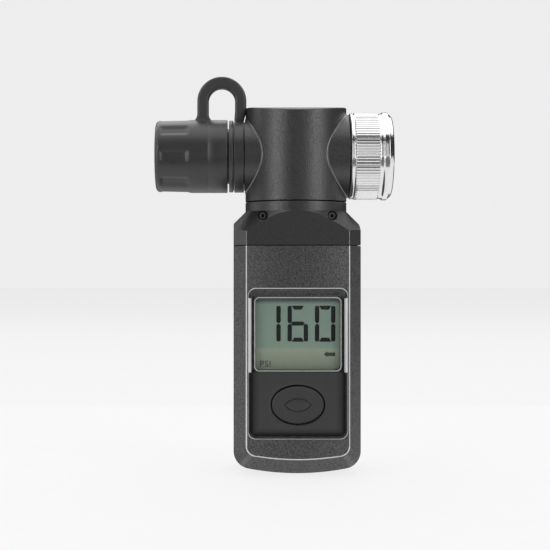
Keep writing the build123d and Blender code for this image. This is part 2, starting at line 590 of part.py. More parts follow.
with BuildPart() as port_hub:
    revolve(ring_along_x(FLANGE_END, HUB_END, HUB_R, STEM_SOCKET_R), axis=Axis.X)
    revolve(ring_along_x(FLANGE_END, FLANGE_END + 1.0, FLANGE_R, STEM_SOCKET_R), axis=Axis.X)
    fillet(port_hub.edges().filter_by(GeomType.CIRCLE).group_by(SortBy.RADIUS)[-1], 0.2)
    revolve(ring_along_x(FLANGE_END - REGISTER_LENGTH, FLANGE_END, REGISTER_R, STEM_SOCKET_R), axis=Axis.X)
    revolve(ring_along_x(FLANGE_END + 1.0, RING_END - FIT, THRUST_R, HUB_R), axis=Axis.X)
    revolve(ring_along_x(RING_START + FIT, HUB_END, THRUST_R, HUB_R), axis=Axis.X)
save(port_hub, "port_hub")

with BuildPart() as pump_valve_stem:
    revolve(ring_along_x(FLANGE_END, STEM_SOCKET_END, STEM_SOCKET_R, 0), axis=Axis.X)
    revolve(ring_along_x(STEM_END, FLANGE_END, VALVE_R, 0), axis=Axis.X)
    chamfer(pump_valve_stem.faces().sort_by(Axis.X)[0].edges(), 0.3)
    revolve(ring_along_x(STEM_END, SPRING_SEAT, STEM_BORE_R, 0), axis=Axis.X, mode=Mode.SUBTRACT)
    revolve(ring_along_x(SPRING_SEAT, STEM_SOCKET_END, STEM_AIRWAY_R, 0), axis=Axis.X, mode=Mode.SUBTRACT)
save(pump_valve_stem, "pump_valve_stem")

with BuildPart() as valve_core_body:
    revolve(ring_along_x(CORE_START, CORE_END, STEM_BORE_R, CORE_BORE_R), axis=Axis.X)
save(valve_core_body, "valve_core_body")

with BuildPart() as valve_pin:
    revolve(ring_along_x(PIN_TIP, PIN_DISC_END, PIN_R, 0), axis=Axis.X)
    revolve(ring_along_x(CORE_END + FIT, PIN_DISC_END, PIN_DISC_R, 0), axis=Axis.X)
    fillet(valve_pin.faces().sort_by(Axis.X)[0].edges(), 0.2)
save(valve_pin, "valve_pin")

SPRING_R, SPRING_WIRE_R, SPRING_TURNS = 1.6, 0.2, 5
SPRING_START, SPRING_STOP = PIN_DISC_END + SPRING_WIRE_R + 0.05, SPRING_SEAT - SPRING_WIRE_R - 0.05

with BuildPart() as valve_spring:
    with BuildLine():
        coil = Helix(
            pitch=(SPRING_STOP - SPRING_START) / SPRING_TURNS,
            height=SPRING_STOP - SPRING_START,
            radius=SPRING_R,
            center=(SWIVEL_X + SPRING_START, 0, 0),
            direction=(1, 0, 0),
        )
    with BuildSketch(Plane(origin=coil @ 0, z_dir=coil % 0)):
        Circle(SPRING_WIRE_R)
    sweep(is_frenet=True)
save(valve_spring, "valve_spring")

# --- Tether and dust cap ----------------------------------------------------------------------------------

CAP_BORE_R, CAP_SLEEVE_R, CAP_INNER_R, CAP_END_WALL = VALVE_R + FIT, 5.3, 7.0, 2.4
CAP_GRIP_R, CAP_CORNER_R = 8.6, 1.1
GRIP_START, GRIP_STOP = -33.1, -25.4
FOOT_Z = 8.85

with BuildPart() as tether_ring:
    revolve(ring_along_x(RING_END, RING_START, RING_R, HUB_R + FIT), axis=Axis.X)
    fillet(tether_ring.edges().filter_by(GeomType.CIRCLE).group_by(SortBy.RADIUS)[-1], 0.15)
save(tether_ring, "tether_ring")

with BuildPart() as tether_loop:
    with BuildSketch(SIDE):
        with BuildLine():
            CenterArc((LOOP_X, LOOP_Z), LOOP_R, 0, 180)
            Polyline((LOOP_X - LOOP_R, LOOP_Z), (LOOP_X - LOOP_R, FOOT_Z), (LOOP_X - LOOP_R + LOOP_BAND, FOOT_Z))
            Line((LOOP_X - LOOP_R + LOOP_BAND, FOOT_Z), (LOOP_X - LOOP_R + LOOP_BAND, LOOP_Z))
            CenterArc((LOOP_X, LOOP_Z), LOOP_R - LOOP_BAND, 0, 180)
            Polyline((LOOP_X + LOOP_R - LOOP_BAND, LOOP_Z), (RING_END, FOOT_Z), (RING_START, FOOT_Z))
            Line((RING_START, FOOT_Z), (LOOP_X + LOOP_R, LOOP_Z))
        make_face()
    extrude(amount=LOOP_DEPTH / 2, both=True)
save(tether_loop, "tether_loop")

with BuildPart() as dust_cap:
    cap_section = outline(
        SIDE,
        (CAP_CLOSED, 0),
        (CAP_CLOSED, CAP_GRIP_R),
        (GRIP_STOP, CAP_R),
        (CAP_OPEN, CAP_R),
        (CAP_OPEN, CAP_INNER_R),
        (CAP_CLOSED + CAP_END_WALL, CAP_INNER_R),
        (CAP_CLOSED + CAP_END_WALL, CAP_SLEEVE_R),
        (CAP_OPEN - 1.5, CAP_SLEEVE_R),
        (CAP_OPEN - 1.5, CAP_BORE_R),
        (CAP_CLOSED + CAP_END_WALL, CAP_BORE_R),
        (CAP_CLOSED + CAP_END_WALL, 0),
    )
    revolve(cap_section, axis=Axis.X)
    fillet(dust_cap.faces().sort_by(Axis.X)[0].edges(), CAP_CORNER_R)
    half_slot = radians(GRIP_ANGLE / 2) * CAP_R
    for i in range(GRIPS):
        turn = 2 * pi * i / GRIPS + radians(GRIP_TURN)
        out = (0, -cos(turn), sin(turn))
        middle = (GRIP_START + GRIP_STOP) / 2 + SWIVEL_X
        base = CAP_R * cos(radians(GRIP_ANGLE / 2)) - GRIP_DEPTH / 3
        with BuildSketch(Plane(origin=(middle, out[1] * base, out[2] * base), x_dir=(1, 0, 0), z_dir=out)):
            SlotOverall(GRIP_STOP - GRIP_START, 2 * half_slot)
        extrude(amount=2.0, mode=Mode.SUBTRACT)
save(dust_cap, "dust_cap")

# --- Chuck side: seal, depressor and the screw-on collar --------------------------------------------------

with BuildPart() as chuck_seal:
    revolve(ring_along_x(SEAL_BACK, SEAL_FRONT, SEAL_R, AIRWAY_R), axis=Axis.X)
save(chuck_seal, "chuck_seal")

DEPRESSOR_TIP, SPIDER = 16.4, (11.0, 12.2)

with BuildPart() as valve_depressor:
    revolve(ring_along_x(SPIDER[0], SPIDER[1], AIRWAY_R, 0), axis=Axis.X)
    revolve(ring_along_x(SPIDER[1], DEPRESSOR_TIP, 0.8, 0), axis=Axis.X)
    for i in range(3):
        turn = 2 * pi * i / 3
        with BuildSketch(Plane.YZ.offset(SWIVEL_X + SPIDER[0])):
            with Locations((1.15 * cos(turn), 1.15 * sin(turn))):
                Circle(0.25)
        extrude(amount=SPIDER[1] - SPIDER[0], mode=Mode.SUBTRACT)
save(valve_depressor, "valve_depressor")

with BuildPart() as knurled_collar:
    collar_section = outline(
        SIDE,
        (COLLAR_BACK, NOSE_R + FIT),
        (COLLAR_BACK, 9.9),
        (12.95, 10.3),
        (13.45, 10.3),
        (13.6, 10.1),
        (13.87, COLLAR_R),
        (19.4, COLLAR_R),
        (19.6, 10.2),
        (20.25, 10.2),
        (20.6, 10.55),
        (21.65, 10.55),
        (22.0, 10.2),
        (22.5, 9.85),
        (MOUTH, 9.4),
        (MOUTH, COLLAR_CAVITY_R),
        (COLLAR_WALL_END, COLLAR_CAVITY_R),
        (COLLAR_WALL_END, NOSE_R + FIT),
    )
    revolve(collar_section, axis=Axis.X)
save(knurled_collar, "knurled_collar")

with BuildPart() as thread_insert:
    revolve(ring_along_x(INSERT_BACK, MOUTH, COLLAR_CAVITY_R, VALVE_R), axis=Axis.X)
    revolve(ring_along_x(INSERT_BACK, THREAD_BACK, THREAD_RELIEF_R, 0), axis=Axis.X, mode=Mode.SUBTRACT)
save(thread_insert, "thread_insert")
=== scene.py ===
"""The finished look of an inline digital air-pressure gauge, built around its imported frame.

Blender works in metres, and the sizes written here are millimetres, but for the stage's: at() turns a place
on the gauge into the frame. x is measured from the swivel axis towards the chuck, y points away from the
front and z up.
"""

from math import cos, hypot, pi, radians, sin, sqrt, tau

import bmesh
import bpy
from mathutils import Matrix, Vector


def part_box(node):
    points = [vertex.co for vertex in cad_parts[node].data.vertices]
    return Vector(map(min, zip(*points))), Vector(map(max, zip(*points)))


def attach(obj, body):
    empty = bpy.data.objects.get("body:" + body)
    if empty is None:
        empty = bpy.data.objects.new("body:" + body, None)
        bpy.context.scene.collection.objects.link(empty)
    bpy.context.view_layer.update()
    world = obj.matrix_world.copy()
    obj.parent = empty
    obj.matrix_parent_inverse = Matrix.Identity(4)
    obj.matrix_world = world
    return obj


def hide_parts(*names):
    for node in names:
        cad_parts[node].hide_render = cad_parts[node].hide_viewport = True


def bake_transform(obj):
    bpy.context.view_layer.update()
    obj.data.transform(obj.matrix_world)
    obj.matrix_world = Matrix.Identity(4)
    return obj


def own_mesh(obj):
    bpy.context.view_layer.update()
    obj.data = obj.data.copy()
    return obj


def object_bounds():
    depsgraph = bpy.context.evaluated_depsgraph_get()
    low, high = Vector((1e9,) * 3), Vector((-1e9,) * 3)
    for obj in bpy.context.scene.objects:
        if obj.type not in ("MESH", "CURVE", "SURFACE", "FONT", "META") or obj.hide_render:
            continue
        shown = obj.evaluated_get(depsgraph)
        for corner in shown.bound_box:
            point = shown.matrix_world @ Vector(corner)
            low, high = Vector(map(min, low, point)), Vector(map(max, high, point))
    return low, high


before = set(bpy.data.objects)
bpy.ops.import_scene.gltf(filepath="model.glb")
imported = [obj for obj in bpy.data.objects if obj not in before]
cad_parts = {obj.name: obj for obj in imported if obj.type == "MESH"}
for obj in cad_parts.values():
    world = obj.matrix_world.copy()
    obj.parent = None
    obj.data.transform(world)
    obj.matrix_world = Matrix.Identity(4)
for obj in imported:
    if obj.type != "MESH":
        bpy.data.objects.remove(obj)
CAD_BOX = [list(corner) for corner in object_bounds()]

MM = 0.001


def middle(node):
    """The centre of a frame node's box."""
    low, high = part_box(node)
    return (low + high) / 2


AXIS = middle("swivel_washer").x


def at(x, y, z):
    """A place on the gauge, in millimetres from the swivel axis, as a point of the frame."""
    return Vector((AXIS + x * MM, y * MM, z * MM))


def edges_of(node):
    """A frame node's lowest and highest corners, in millimetres from the swivel axis."""
    low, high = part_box(node)
    shift = Vector((AXIS, 0, 0))
    return (low - shift) / MM, (high - shift) / MM


# --- Sizes -----------------------------------------------------------------------------------------------

COLLAR_LOW, COLLAR_HIGH = edges_of("knurled_collar")
CAP_LOW, CAP_HIGH = edges_of("dust_cap")
PAD_LOW, PAD_HIGH = edges_of("keypad_pad")
BUTTON_LOW, BUTTON_HIGH = edges_of("mode_button")
WINDOW_LOW, WINDOW_HIGH = edges_of("display_window")
SPRING_LOW, SPRING_HIGH = edges_of("valve_spring")
LCD_LOW = edges_of("lcd_panel")[0]
LOOP_LOW, LOOP_HIGH = edges_of("tether_loop")
RING_LOW, RING_HIGH = edges_of("tether_ring")


# --- Mesh helpers ----------------------------------------------------------------------------------------


def blend_between(low, high, value):
    """0 below low, 1 above high, and a smooth step between."""
    t = min(1.0, max(0.0, (value - low) / (high - low)))
    return t * t * (3 - 2 * t)


def add_object(name, data):
    """A new object in the scene, for a mesh, a text, a lamp or a camera."""
    made = bpy.data.objects.new(name, data)
    bpy.context.scene.collection.objects.link(made)
    return made


def mesh_of(name, shape):
    """A finished shape as a mesh."""
    mesh = bpy.data.meshes.new(name)
    shape.to_mesh(mesh)
    shape.free()
    return mesh


def skin(name, rings, wrap=False, sharp_deg=35.0):
    """A mesh over a stack of closed rings of points. A ring of one point is a pole, and wrap joins the last
    ring to the first."""
    shape = bmesh.new()
    rows = [[shape.verts.new(point) for point in ring] for ring in rings]
    pairs = list(zip(rows, rows[1:]))
    if wrap:
        pairs.append((rows[-1], rows[0]))
    for low, high in pairs:
        count = max(len(low), len(high))
        for i in range(count):
            j = (i + 1) % count
            corners = low[i % len(low)], low[j % len(low)], high[j % len(high)], high[i % len(high)]
            shape.faces.new(dict.fromkeys(corners))
    bmesh.ops.recalc_face_normals(shape, faces=shape.faces)
    mesh = mesh_of(name, shape)
    mesh.shade_smooth()
    mesh.set_sharp_from_angle(angle=radians(sharp_deg))
    return add_object(name, mesh)


def rounded(points, radius, closed=True, steps=3):
    """An outline with every corner turned into a small arc, no larger than its sides allow."""
    made = []
    for i, corner in enumerate(points):
        corner = Vector(corner)
        if not closed and i in (0, len(points) - 1):
            made.append(corner)
            continue
        before, after = Vector(points[i - 1]) - corner, Vector(points[(i + 1) % len(points)]) - corner
        reach = min(radius, 0.45 * before.length, 0.45 * after.length)
        start, end = corner + before.normalized() * reach, corner + after.normalized() * reach
        for step in range(steps + 1):
            t = step / steps
            made.append(start * (1 - t) ** 2 + corner * 2 * t * (1 - t) + end * t**2)
    return made


def turned(name, profile, count, radius_at, wrap=True, sharp_deg=35.0):
    """A profile of (x, radius) turned about the port axis. radius_at shapes each point by its angle, which
    starts at the front and goes up."""
    rings = []
    for x, r in profile:
        if r == 0:
            rings.append([at(x, 0, 0)])
            continue
        ring = []
        for i in range(count):
            angle = tau * i / count
            radius = radius_at(x, r, angle)
            ring.append(at(x, -radius * cos(angle), radius * sin(angle)))
        rings.append(ring)
    return skin(name, rings, wrap, sharp_deg)


def prism(name, outlines, front, back):
    """Flat plates, one for each outline of (x, z), between two depths."""
    shape = bmesh.new()
    for outline in outlines:
        rows = [[shape.verts.new(at(x, y, z)) for x, z in outline] for y in (front, back)]
        for row in rows:
            shape.faces.new(row)
        for i in range(len(outline)):
            j = (i + 1) % len(outline)
            shape.faces.new((rows[0][i], rows[0][j], rows[1][j], rows[1][i]))
    bmesh.ops.recalc_face_normals(shape, faces=shape.faces)
    return add_object(name, mesh_of(name, shape))


def even_normals(piece):
    """Shades a piece by its large faces, so that its small rounded edges don't bend the light across them."""
    weighted = piece.modifiers.new("even_normals", "WEIGHTED_NORMAL")
    weighted.mode = "FACE_AREA"
    weighted.keep_sharp = True
    return piece


def fit(piece, material, body, slot, *nodes):
    """Gives a piece its material and its body, and hides the frame nodes that it stands for. The slot is not
    used.
    """
    piece.data.materials.append(material)
    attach(piece, body)
    if nodes:
        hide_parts(*nodes)
    return piece


# --- Materials -------------------------------------------------------------------------------------------


class Recipe:
    """A material under construction: a Principled shader and the textures that feed it."""

    def __init__(self, name, **sockets):
        self.material = bpy.data.materials.new(name)
        self.material.use_nodes = True
        self.tree = self.material.node_tree
        self.shader = self.tree.nodes["Principled BSDF"]
        for socket, value in sockets.items():
            self.shader.inputs[socket.replace("_", " ")].default_value = value
        self.place = self.add("ShaderNodeTexCoord")

    def add(self, kind, **values):
        """A node with some of its inputs filled in, by number or by name."""
        made = self.tree.nodes.new(kind)
        for socket, value in values.items():
            made.inputs[socket.replace("_", " ")].default_value = value
        return made

    def link(self, output, to):
        self.tree.links.new(output, to)

    def feed(self, value, socket):
        """Gives a socket a number, a colour or another node's output."""
        if isinstance(value, (int, float, tuple)):
            socket.default_value = value
        else:
            self.link(value, socket)

    def noise(self, size_mm, detail=2.0, stretch=(1, 1, 1)):
        """A noise whose blotches are about size_mm across, drawn out along an axis by stretch."""
        texture = self.add("ShaderNodeTexNoise", Scale=1 / (size_mm * MM), Detail=detail, Roughness=0.55)
        place = self.place.outputs["Object"]
        if stretch != (1, 1, 1):
            mapping = self.add("ShaderNodeMapping", Scale=tuple(1 / s for s in stretch))
            self.link(place, mapping.inputs["Vector"])
            place = mapping.outputs["Vector"]
        self.link(place, texture.inputs["Vector"])
        return texture.outputs["Fac"]

    def math(self, operation, *values):
        """What an operation makes of one or two values, each a node's output or a plain number."""
        made = self.add("ShaderNodeMath")
        made.operation = operation
        for socket, value in zip(made.inputs, values):
            self.feed(value, socket)
        return made.outputs["Value"]

    def parts(self, output):
        """One of the texture coordinates, split into X, Y and Z."""
        split = self.add("ShaderNodeSeparateXYZ")
        self.link(self.place.outputs[output], split.inputs["Vector"])
        return split.outputs

    def square(self, value):
        return self.math("MULTIPLY", value, value)

    def apart(self, value, other):
        """How far two values are from each other."""
        return self.math("ABSOLUTE", self.math("SUBTRACT", value, other))

    def reach(self, across, along):
        """The distance from an axis, out of its two parts."""
        return self.math("SQRT", self.math("ADD", self.square(across), self.square(along)))

    def leaning(self):
        """0 where the surface faces straight ahead, growing to 1 where it faces sideways, up or down."""
        return self.spread(self.parts("Normal")["Y"], 0.0, 1.0, -1.0, 0.0)

    def step(self, value, start_mm, end_mm):
        """0 below one distance and 1 above another."""
        return self.spread(value, 0.0, 1.0, start_mm * MM, end_mm * MM)

    def most(self, value, *others):
        """The largest of some masks."""
        for other in others:
            value = self.math("MAXIMUM", value, other)
        return value

    def mix(self, kind, mask, low, high, blend="MIX"):
        """A mix of two values or colours, the first of them where the mask is 0."""
        mixer = self.add("ShaderNodeMix")
        mixer.data_type, mixer.blend_type = kind, blend
        of_kind = {"FLOAT": "Float", "RGBA": "Color"}[kind]
        sockets = {socket.identifier: socket for socket in mixer.inputs}
        for name, value in (("Factor_Float", mask), (f"A_{of_kind}", low), (f"B_{of_kind}", high)):
            self.feed(value, sockets[name])
        return next(out for out in mixer.outputs if out.identifier == f"Result_{of_kind}")

    def spread(self, value, low, high, start=0.3, end=0.7):
        """A value's range between start and end, stretched to a new range."""
        ranged = self.add("ShaderNodeMapRange", From_Min=start, From_Max=end, To_Min=low, To_Max=high)
        self.link(value, ranged.inputs["Value"])
        return ranged.outputs["Result"]

    def ramp(self, value, *stops):
        """A colour, or a grey, that follows a value through stops of (place, colour)."""
        ramp = self.add("ShaderNodeValToRGB")
        elements = ramp.color_ramp.elements
        while len(elements) < len(stops):
            elements.new(0.5)
        for element, (place, colour) in zip(elements, stops):
            element.position = place
            element.color = (*colour, 1) if isinstance(colour, tuple) else (colour, colour, colour, 1)
        self.link(value, ramp.inputs["Fac"])
        return ramp.outputs["Color"]

    def colour(self, output):
        self.link(output, self.shader.inputs["Base Color"])

    def clouds(self, texture, dark, light):
        """Lets the colour drift between two shades with a texture."""
        self.colour(self.ramp(texture, (0.3, dark), (0.7, light)))

    def roughness(self, output):
        self.link(output, self.shader.inputs["Roughness"])

    def bump(self, height, depth_mm, strength):
        """Relief about depth_mm deep, as strong as a number or a mask says, over what relief there is."""
        bump = self.add("ShaderNodeBump", Distance=depth_mm * MM)
        self.link(height, bump.inputs["Height"])
        self.feed(strength, bump.inputs["Strength"])
        normal = self.shader.inputs["Normal"]
        if normal.is_linked:
            self.link(normal.links[0].from_socket, bump.inputs["Normal"])
        self.link(bump.outputs["Normal"], normal)


def shades(colour, spread):
    """A darker and a lighter version of a colour."""
    return tuple(c * (1 - spread) for c in colour), tuple(c * (1 + spread) for c in colour)


GRAIN_MOTTLE, WORN_ROUGH = 0.9, 0.2


def grained_plastic(name, colour, rough, grain_mm, depth_mm, wear_and_sheen=None, worn_sheen_grey=0.1, specular=0.9):
    """Moulded plastic with a spark-eroded grain, and, where the wear-and-sheen mask says so, polished smooth
    by the tool and by use and painted a paler grey, which is partly real wear and partly a painted highlight.
    The mask takes the recipe and gives 0 where it is polished and painted pale, 1 where the grain is left."""
    made = Recipe(name, Specular_IOR_Level=specular)
    grain = made.noise(grain_mm, 3.0)
    dark, light = shades(colour, GRAIN_MOTTLE)
    tone = made.ramp(grain, (0.34, dark), (0.66, light))
    gloss = made.spread(grain, rough + 0.08, rough - 0.08)
    relief = 0.8
    if wear_and_sheen:
        relief = wear_and_sheen(made)
        # painted highlight: the rubbed places take a pale grey over their smoothing
        tone = made.mix("RGBA", relief, (worn_sheen_grey, worn_sheen_grey, worn_sheen_grey, 1), tone)
        gloss = made.mix("FLOAT", relief, WORN_ROUGH, gloss)
    made.colour(tone)
    made.roughness(gloss)
    made.bump(made.noise(grain_mm * 0.8), depth_mm, relief)
    return made


CREASE_LEAN = (0.006, 1.0), (0.035, 0.0), (0.27, 0.0), (0.36, 1.0)  # rubbed smooth and painted pale as a highlight where it leans 15 to 43 degrees
CREASE_BACK, CREASE_FADE = -5.0, 0.1  # how far back the rubbed creases with their painted highlight reach, and how soon they end
PANEL_BACK, PANEL_FADE = -12.0, 0.04  # just behind the front panel, where the recess begins
RECESS_HALF_W, RECESS_FADE = 11.5, 0.08
RECESS_TOP = -34.0  # over the window
RAIL_GRAIN = 0.3  # the grain left on the rails beside the window, which are otherwise rubbed smooth and painted pale as a highlight


def body_creases(top):
    """The creases round the front of the gauge body that are rubbed smooth and painted pale, partly real wear
    and partly a painted highlight, from a height in millimetres down.
    """

    def wear_and_sheen(made):
        normal, place = made.parts("Normal"), made.parts("Object")
        creased = made.ramp(made.leaning(), *CREASE_LEAN)
        above = made.step(place["Z"], top, top + CREASE_FADE)
        behind = made.step(place["Y"], CREASE_BACK, CREASE_BACK + CREASE_FADE)
        upright = made.spread(made.math("ABSOLUTE", normal["X"]), 1.0, 0.0, 0.1, 0.2)
        deep = made.step(place["Y"], PANEL_BACK, PANEL_BACK + PANEL_FADE)
        beside = made.step(made.apart(place["X"], AXIS), RECESS_HALF_W, RECESS_HALF_W + RECESS_FADE)
        in_recess = made.math("SUBTRACT", 1.0, beside)
        high = made.step(place["Z"], RECESS_TOP, RECESS_TOP + CREASE_FADE)
        over_window = made.math("MINIMUM", in_recess, high)
        walls = made.math("MINIMUM", deep, made.math("MAXIMUM", upright, over_window))
        rails = made.math("MULTIPLY", made.math("MINIMUM", deep, in_recess), RAIL_GRAIN)
        return made.most(creased, above, behind, walls, rails)

    return wear_and_sheen


CROWN_DROP, CROWN_HALF_W = 2.1, 12


def crowned(made):
    """Lights the flat front panel as if it fell away towards its sides, by that drop at that half width."""
    across = made.math("SUBTRACT", made.parts("Object")["X"], AXIS)
    crown = made.math("MULTIPLY", made.square(made.math("DIVIDE", across, CROWN_HALF_W * MM)), -1.0)
    made.bump(crown, CROWN_DROP, made.ramp(made.leaning(), (0.0, 1.0), (0.01, 0.0)))
    return made.material


HEAD_R, PUMP_BOSS_R, CHUCK_BOSS_R = 12.15, 8.9, 10.0
SEAM_WEAR_SHEEN, SEAM_FADED = 0.06, 0.25  # how far from the line where two round surfaces meet the rubbed, pale-painted highlight is full, and where it has faded


def head_creases(made):
    """The creases where the two bosses leave the head, rubbed smooth and painted pale along a thin line as a
    highlight.
    """
    place = made.parts("Object")
    across = made.math("SUBTRACT", place["X"], AXIS)
    from_swivel, from_port = made.reach(across, place["Y"]), made.reach(place["Z"], place["Y"])
    boss_r = made.mix("FLOAT", made.step(across, -0.1, 0.1), PUMP_BOSS_R * MM, CHUCK_BOSS_R * MM)
    off_head, off_boss = made.apart(from_swivel, HEAD_R * MM), made.apart(from_port, boss_r)
    return made.most(made.step(off_head, SEAM_WEAR_SHEEN, SEAM_FADED), made.step(off_boss, SEAM_WEAR_SHEEN, SEAM_FADED))


RUBBER_CLOUD, RUBBER_SHEEN, RUBBER_SKIN, RUBBER_RELIEF = 2.2, 0.5, 0.16, 0.006
DULL_RIM, FIELD_SIDES, FIELD_FOOT = 0.3, 2.4, 2.2  # from the pad's edge in


def smooth_rubber(name, colour, rough, mottle=0.08):
    """Rubber or fine matt plastic, almost even, with faint moulding clouds."""
    made = Recipe(name, Specular_IOR_Level=0.7)
    made.clouds(made.noise(RUBBER_CLOUD, 3.0), *shades(colour, mottle))
    made.roughness(made.spread(made.noise(RUBBER_SHEEN), rough + 0.04, rough - 0.04))
    made.bump(made.noise(RUBBER_SKIN), RUBBER_RELIEF, 0.6)
    return made.material


def keypad_rubber():
    """The pad's rubber, darker and duller towards its sides and its foot."""
    made = Recipe("keypad_rubber")
    place = made.parts("Object")
    off_centre = made.apart(place["X"], AXIS)
    field_to, dull_from = PAD_HIGH.x - FIELD_SIDES, PAD_HIGH.x - DULL_RIM
    sides = made.spread(off_centre, 1.0, 0.0, field_to * MM, dull_from * MM)
    foot = made.step(place["Z"], PAD_LOW.z + DULL_RIM, PAD_LOW.z + FIELD_FOOT)
    inner_field = made.math("MINIMUM", sides, foot)
    cloud = made.ramp(made.noise(RUBBER_CLOUD, 3.0), (0.3, 0.0105), (0.7, 0.013))
    made.colour(made.mix("RGBA", inner_field, (0.005, 0.005, 0.0052, 1), cloud))
    made.roughness(made.mix("FLOAT", inner_field, 0.75, made.spread(made.noise(RUBBER_SHEEN), 0.54, 0.46)))
    made.link(made.spread(inner_field, 0.25, 0.7, 0.0, 1.0), made.shader.inputs["Specular IOR Level"])
    made.bump(made.noise(RUBBER_SKIN), RUBBER_RELIEF, 0.6)
    return made.material


TURNING_STRETCH = 40  # how much longer a turning mark is than it is wide


def metal(name, colour, rough, turned_axis=None):
    """A metal with the fine rings of turning about an axis, or an even fine texture."""
    made = Recipe(name, Metallic=1.0)
    made.clouds(made.noise(0.6), *shades(colour, 0.05))
    stretch = tuple(1 if turned_axis in (None, axis) else TURNING_STRETCH for axis in "XYZ")
    marks = made.noise(0.12, 2.0, stretch)
    made.roughness(made.spread(marks, rough + 0.03, rough - 0.03))
    made.bump(marks, 0.003, 0.5)
    return made.material


def chrome():
    """Bright plating, with the faintest unevenness."""
    made = Recipe("bright_chrome", Metallic=1.0)
    made.clouds(made.noise(1.5), (0.8, 0.8, 0.805), (0.84, 0.84, 0.845))
    made.roughness(made.spread(made.noise(0.8), 0.18, 0.13))
    return made.material


def even_finish(name, colour, rough, speck_mm=0.4, mottle=0.08, metallic=0.0, specular=0.5):
    """A plain moulded or printed finish with a fine speckle."""
    made = Recipe(name, Metallic=metallic, Specular_IOR_Level=specular)
    speck = made.noise(speck_mm)
    made.clouds(speck, *shades(colour, mottle))
    made.roughness(made.spread(speck, rough + 0.05, rough - 0.05))
    made.bump(speck, 0.006, 0.4)
    return made.material


SCREW_HEAD_R = 1.15


def socket_screws():
    """The black shoulder screws: a dark socket, a metal face bared by wear, and painted shade in a ring at
    the gap round the head.
    """
    made = Recipe("socket_screw", Metallic=0.9)
    place = made.parts("Object")
    low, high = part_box("shoulder_screws")
    off_centre = made.apart(place["X"], AXIS)
    across = made.math("SUBTRACT", off_centre, (high.x - low.x) / 2 - SCREW_HEAD_R * MM)
    up = made.math("SUBTRACT", place["Z"], (low.z + high.z) / 2)
    share = made.step(made.reach(across, up), 0.0, SCREW_HEAD_R)
    # the outer dark stop is painted shade for the gap round the head
    made.colour(made.ramp(share, (0.3, 0.01), (0.42, 0.16), (0.62, 0.12), (0.74, 0.008)))
    made.roughness(made.spread(made.noise(0.3), 0.36, 0.26))
    made.bump(share, 0.1, 0.3)
    return made.material


def window_clear():
    """The clear pane over the display."""
    made = Recipe("clear_pane", Alpha=0.1)
    made.clouds(made.noise(4.0, 1.0), (0.015, 0.017, 0.016), (0.02, 0.022, 0.021))
    made.roughness(made.spread(made.noise(1.2), 0.05, 0.03))
    return made.material


def frosted_edge():
    """The ground edge of the pane, which gathers light and looks pale."""
    made = Recipe("pane_edge", Specular_IOR_Level=0.6)
    made.clouds(made.noise(0.8), (0.36, 0.37, 0.37), (0.46, 0.47, 0.46))
    made.roughness(made.spread(made.noise(0.4), 0.3, 0.2))
    return made.material


def lcd_face():
    """The display's reflective layer: grey-green, a little paler and yellower in its lower strip, and
    darkened along its top by a painted shadow of the frame."""
    made = Recipe("display_face", Roughness=0.55, Specular_IOR_Level=0.3)
    height = made.step(made.parts("Object")["Z"], WINDOW_LOW.z, WINDOW_HIGH.z)
    fibre = made.ramp(made.noise(0.5, 3.0, (1, 1, 6)), (0.3, 0.94), (0.7, 1.0))
    body = made.ramp(
        height,
        (0.0, (0.24, 0.265, 0.215)),
        (0.29, (0.34, 0.405, 0.305)),
        (0.33, (0.255, 0.350, 0.285)),
        (0.90, (0.255, 0.350, 0.296)),
        # painted shadow of the frame along the top
        (0.96, (0.085, 0.108, 0.098)),
    )
    made.colour(made.mix("RGBA", 1.0, body, fibre, blend="MULTIPLY"))
    return made.material


# Heights below which the body's creases are rubbed smooth and painted pale as a highlight.
SHOULDER_WEAR_SHEEN_TOP, HOUSING_WEAR_SHEEN_TOP = -13.6, -20.0
head_finish = {"colour": (0.011, 0.011, 0.0115), "rough": 0.4, "grain_mm": 0.36, "depth_mm": 0.05}
shoulder_finish = {"colour": (0.0075, 0.0075, 0.0079), "rough": 0.38, "grain_mm": 0.36, "depth_mm": 0.055}
housing_finish = {"colour": (0.034, 0.034, 0.036), "rough": 0.46, "grain_mm": 0.38, "depth_mm": 0.04}
# The pale greys of the rubbed creases are painted highlights laid over real smoothing.
shoulder_wear_sheen = {"wear_and_sheen": body_creases(SHOULDER_WEAR_SHEEN_TOP), "worn_sheen_grey": 0.09}
housing_wear_sheen = {"wear_and_sheen": body_creases(HOUSING_WEAR_SHEEN_TOP), "worn_sheen_grey": 0.58}
SHELL = grained_plastic("head_plastic", **head_finish).material
# The seams round the bosses are rubbed smooth and painted pale as a highlight.
HEAD = grained_plastic("head_plastic_seam_sheen", wear_and_sheen=head_creases, **head_finish).material
SHOULDER = grained_plastic("shoulder_plastic", **shoulder_finish, **shoulder_wear_sheen).material
HOUSING = crowned(grained_plastic("housing_plastic", specular=0.6, **housing_finish, **housing_wear_sheen))
CAP_RUBBER = smooth_rubber("cap_rubber", (0.016, 0.016, 0.0165), 0.4)
STRAP_RUBBER = smooth_rubber("strap_rubber", (0.022, 0.022, 0.0225), 0.44)
PAD_RUBBER = keypad_rubber()
BUTTON = smooth_rubber("button_plastic", (0.0115, 0.0115, 0.012), 0.48, 0.1)
SEAL = smooth_rubber("seal_rubber", (0.02, 0.02, 0.02), 0.35)
CHROME = chrome()
BRASS = metal("turned_brass", (0.62, 0.45, 0.2), 0.22, "X")
ALUMINIUM = metal("turned_aluminium", (0.7, 0.7, 0.72), 0.3, "X")
SPRING_STEEL = metal("spring_steel", (0.56, 0.56, 0.58), 0.25)
SENSOR_STEEL = metal("sensor_steel", (0.55, 0.55, 0.56), 0.35, "Z")
CELL_STEEL = metal("cell_steel", (0.66, 0.66, 0.67), 0.28)
SOCKET_SCREW = socket_screws()
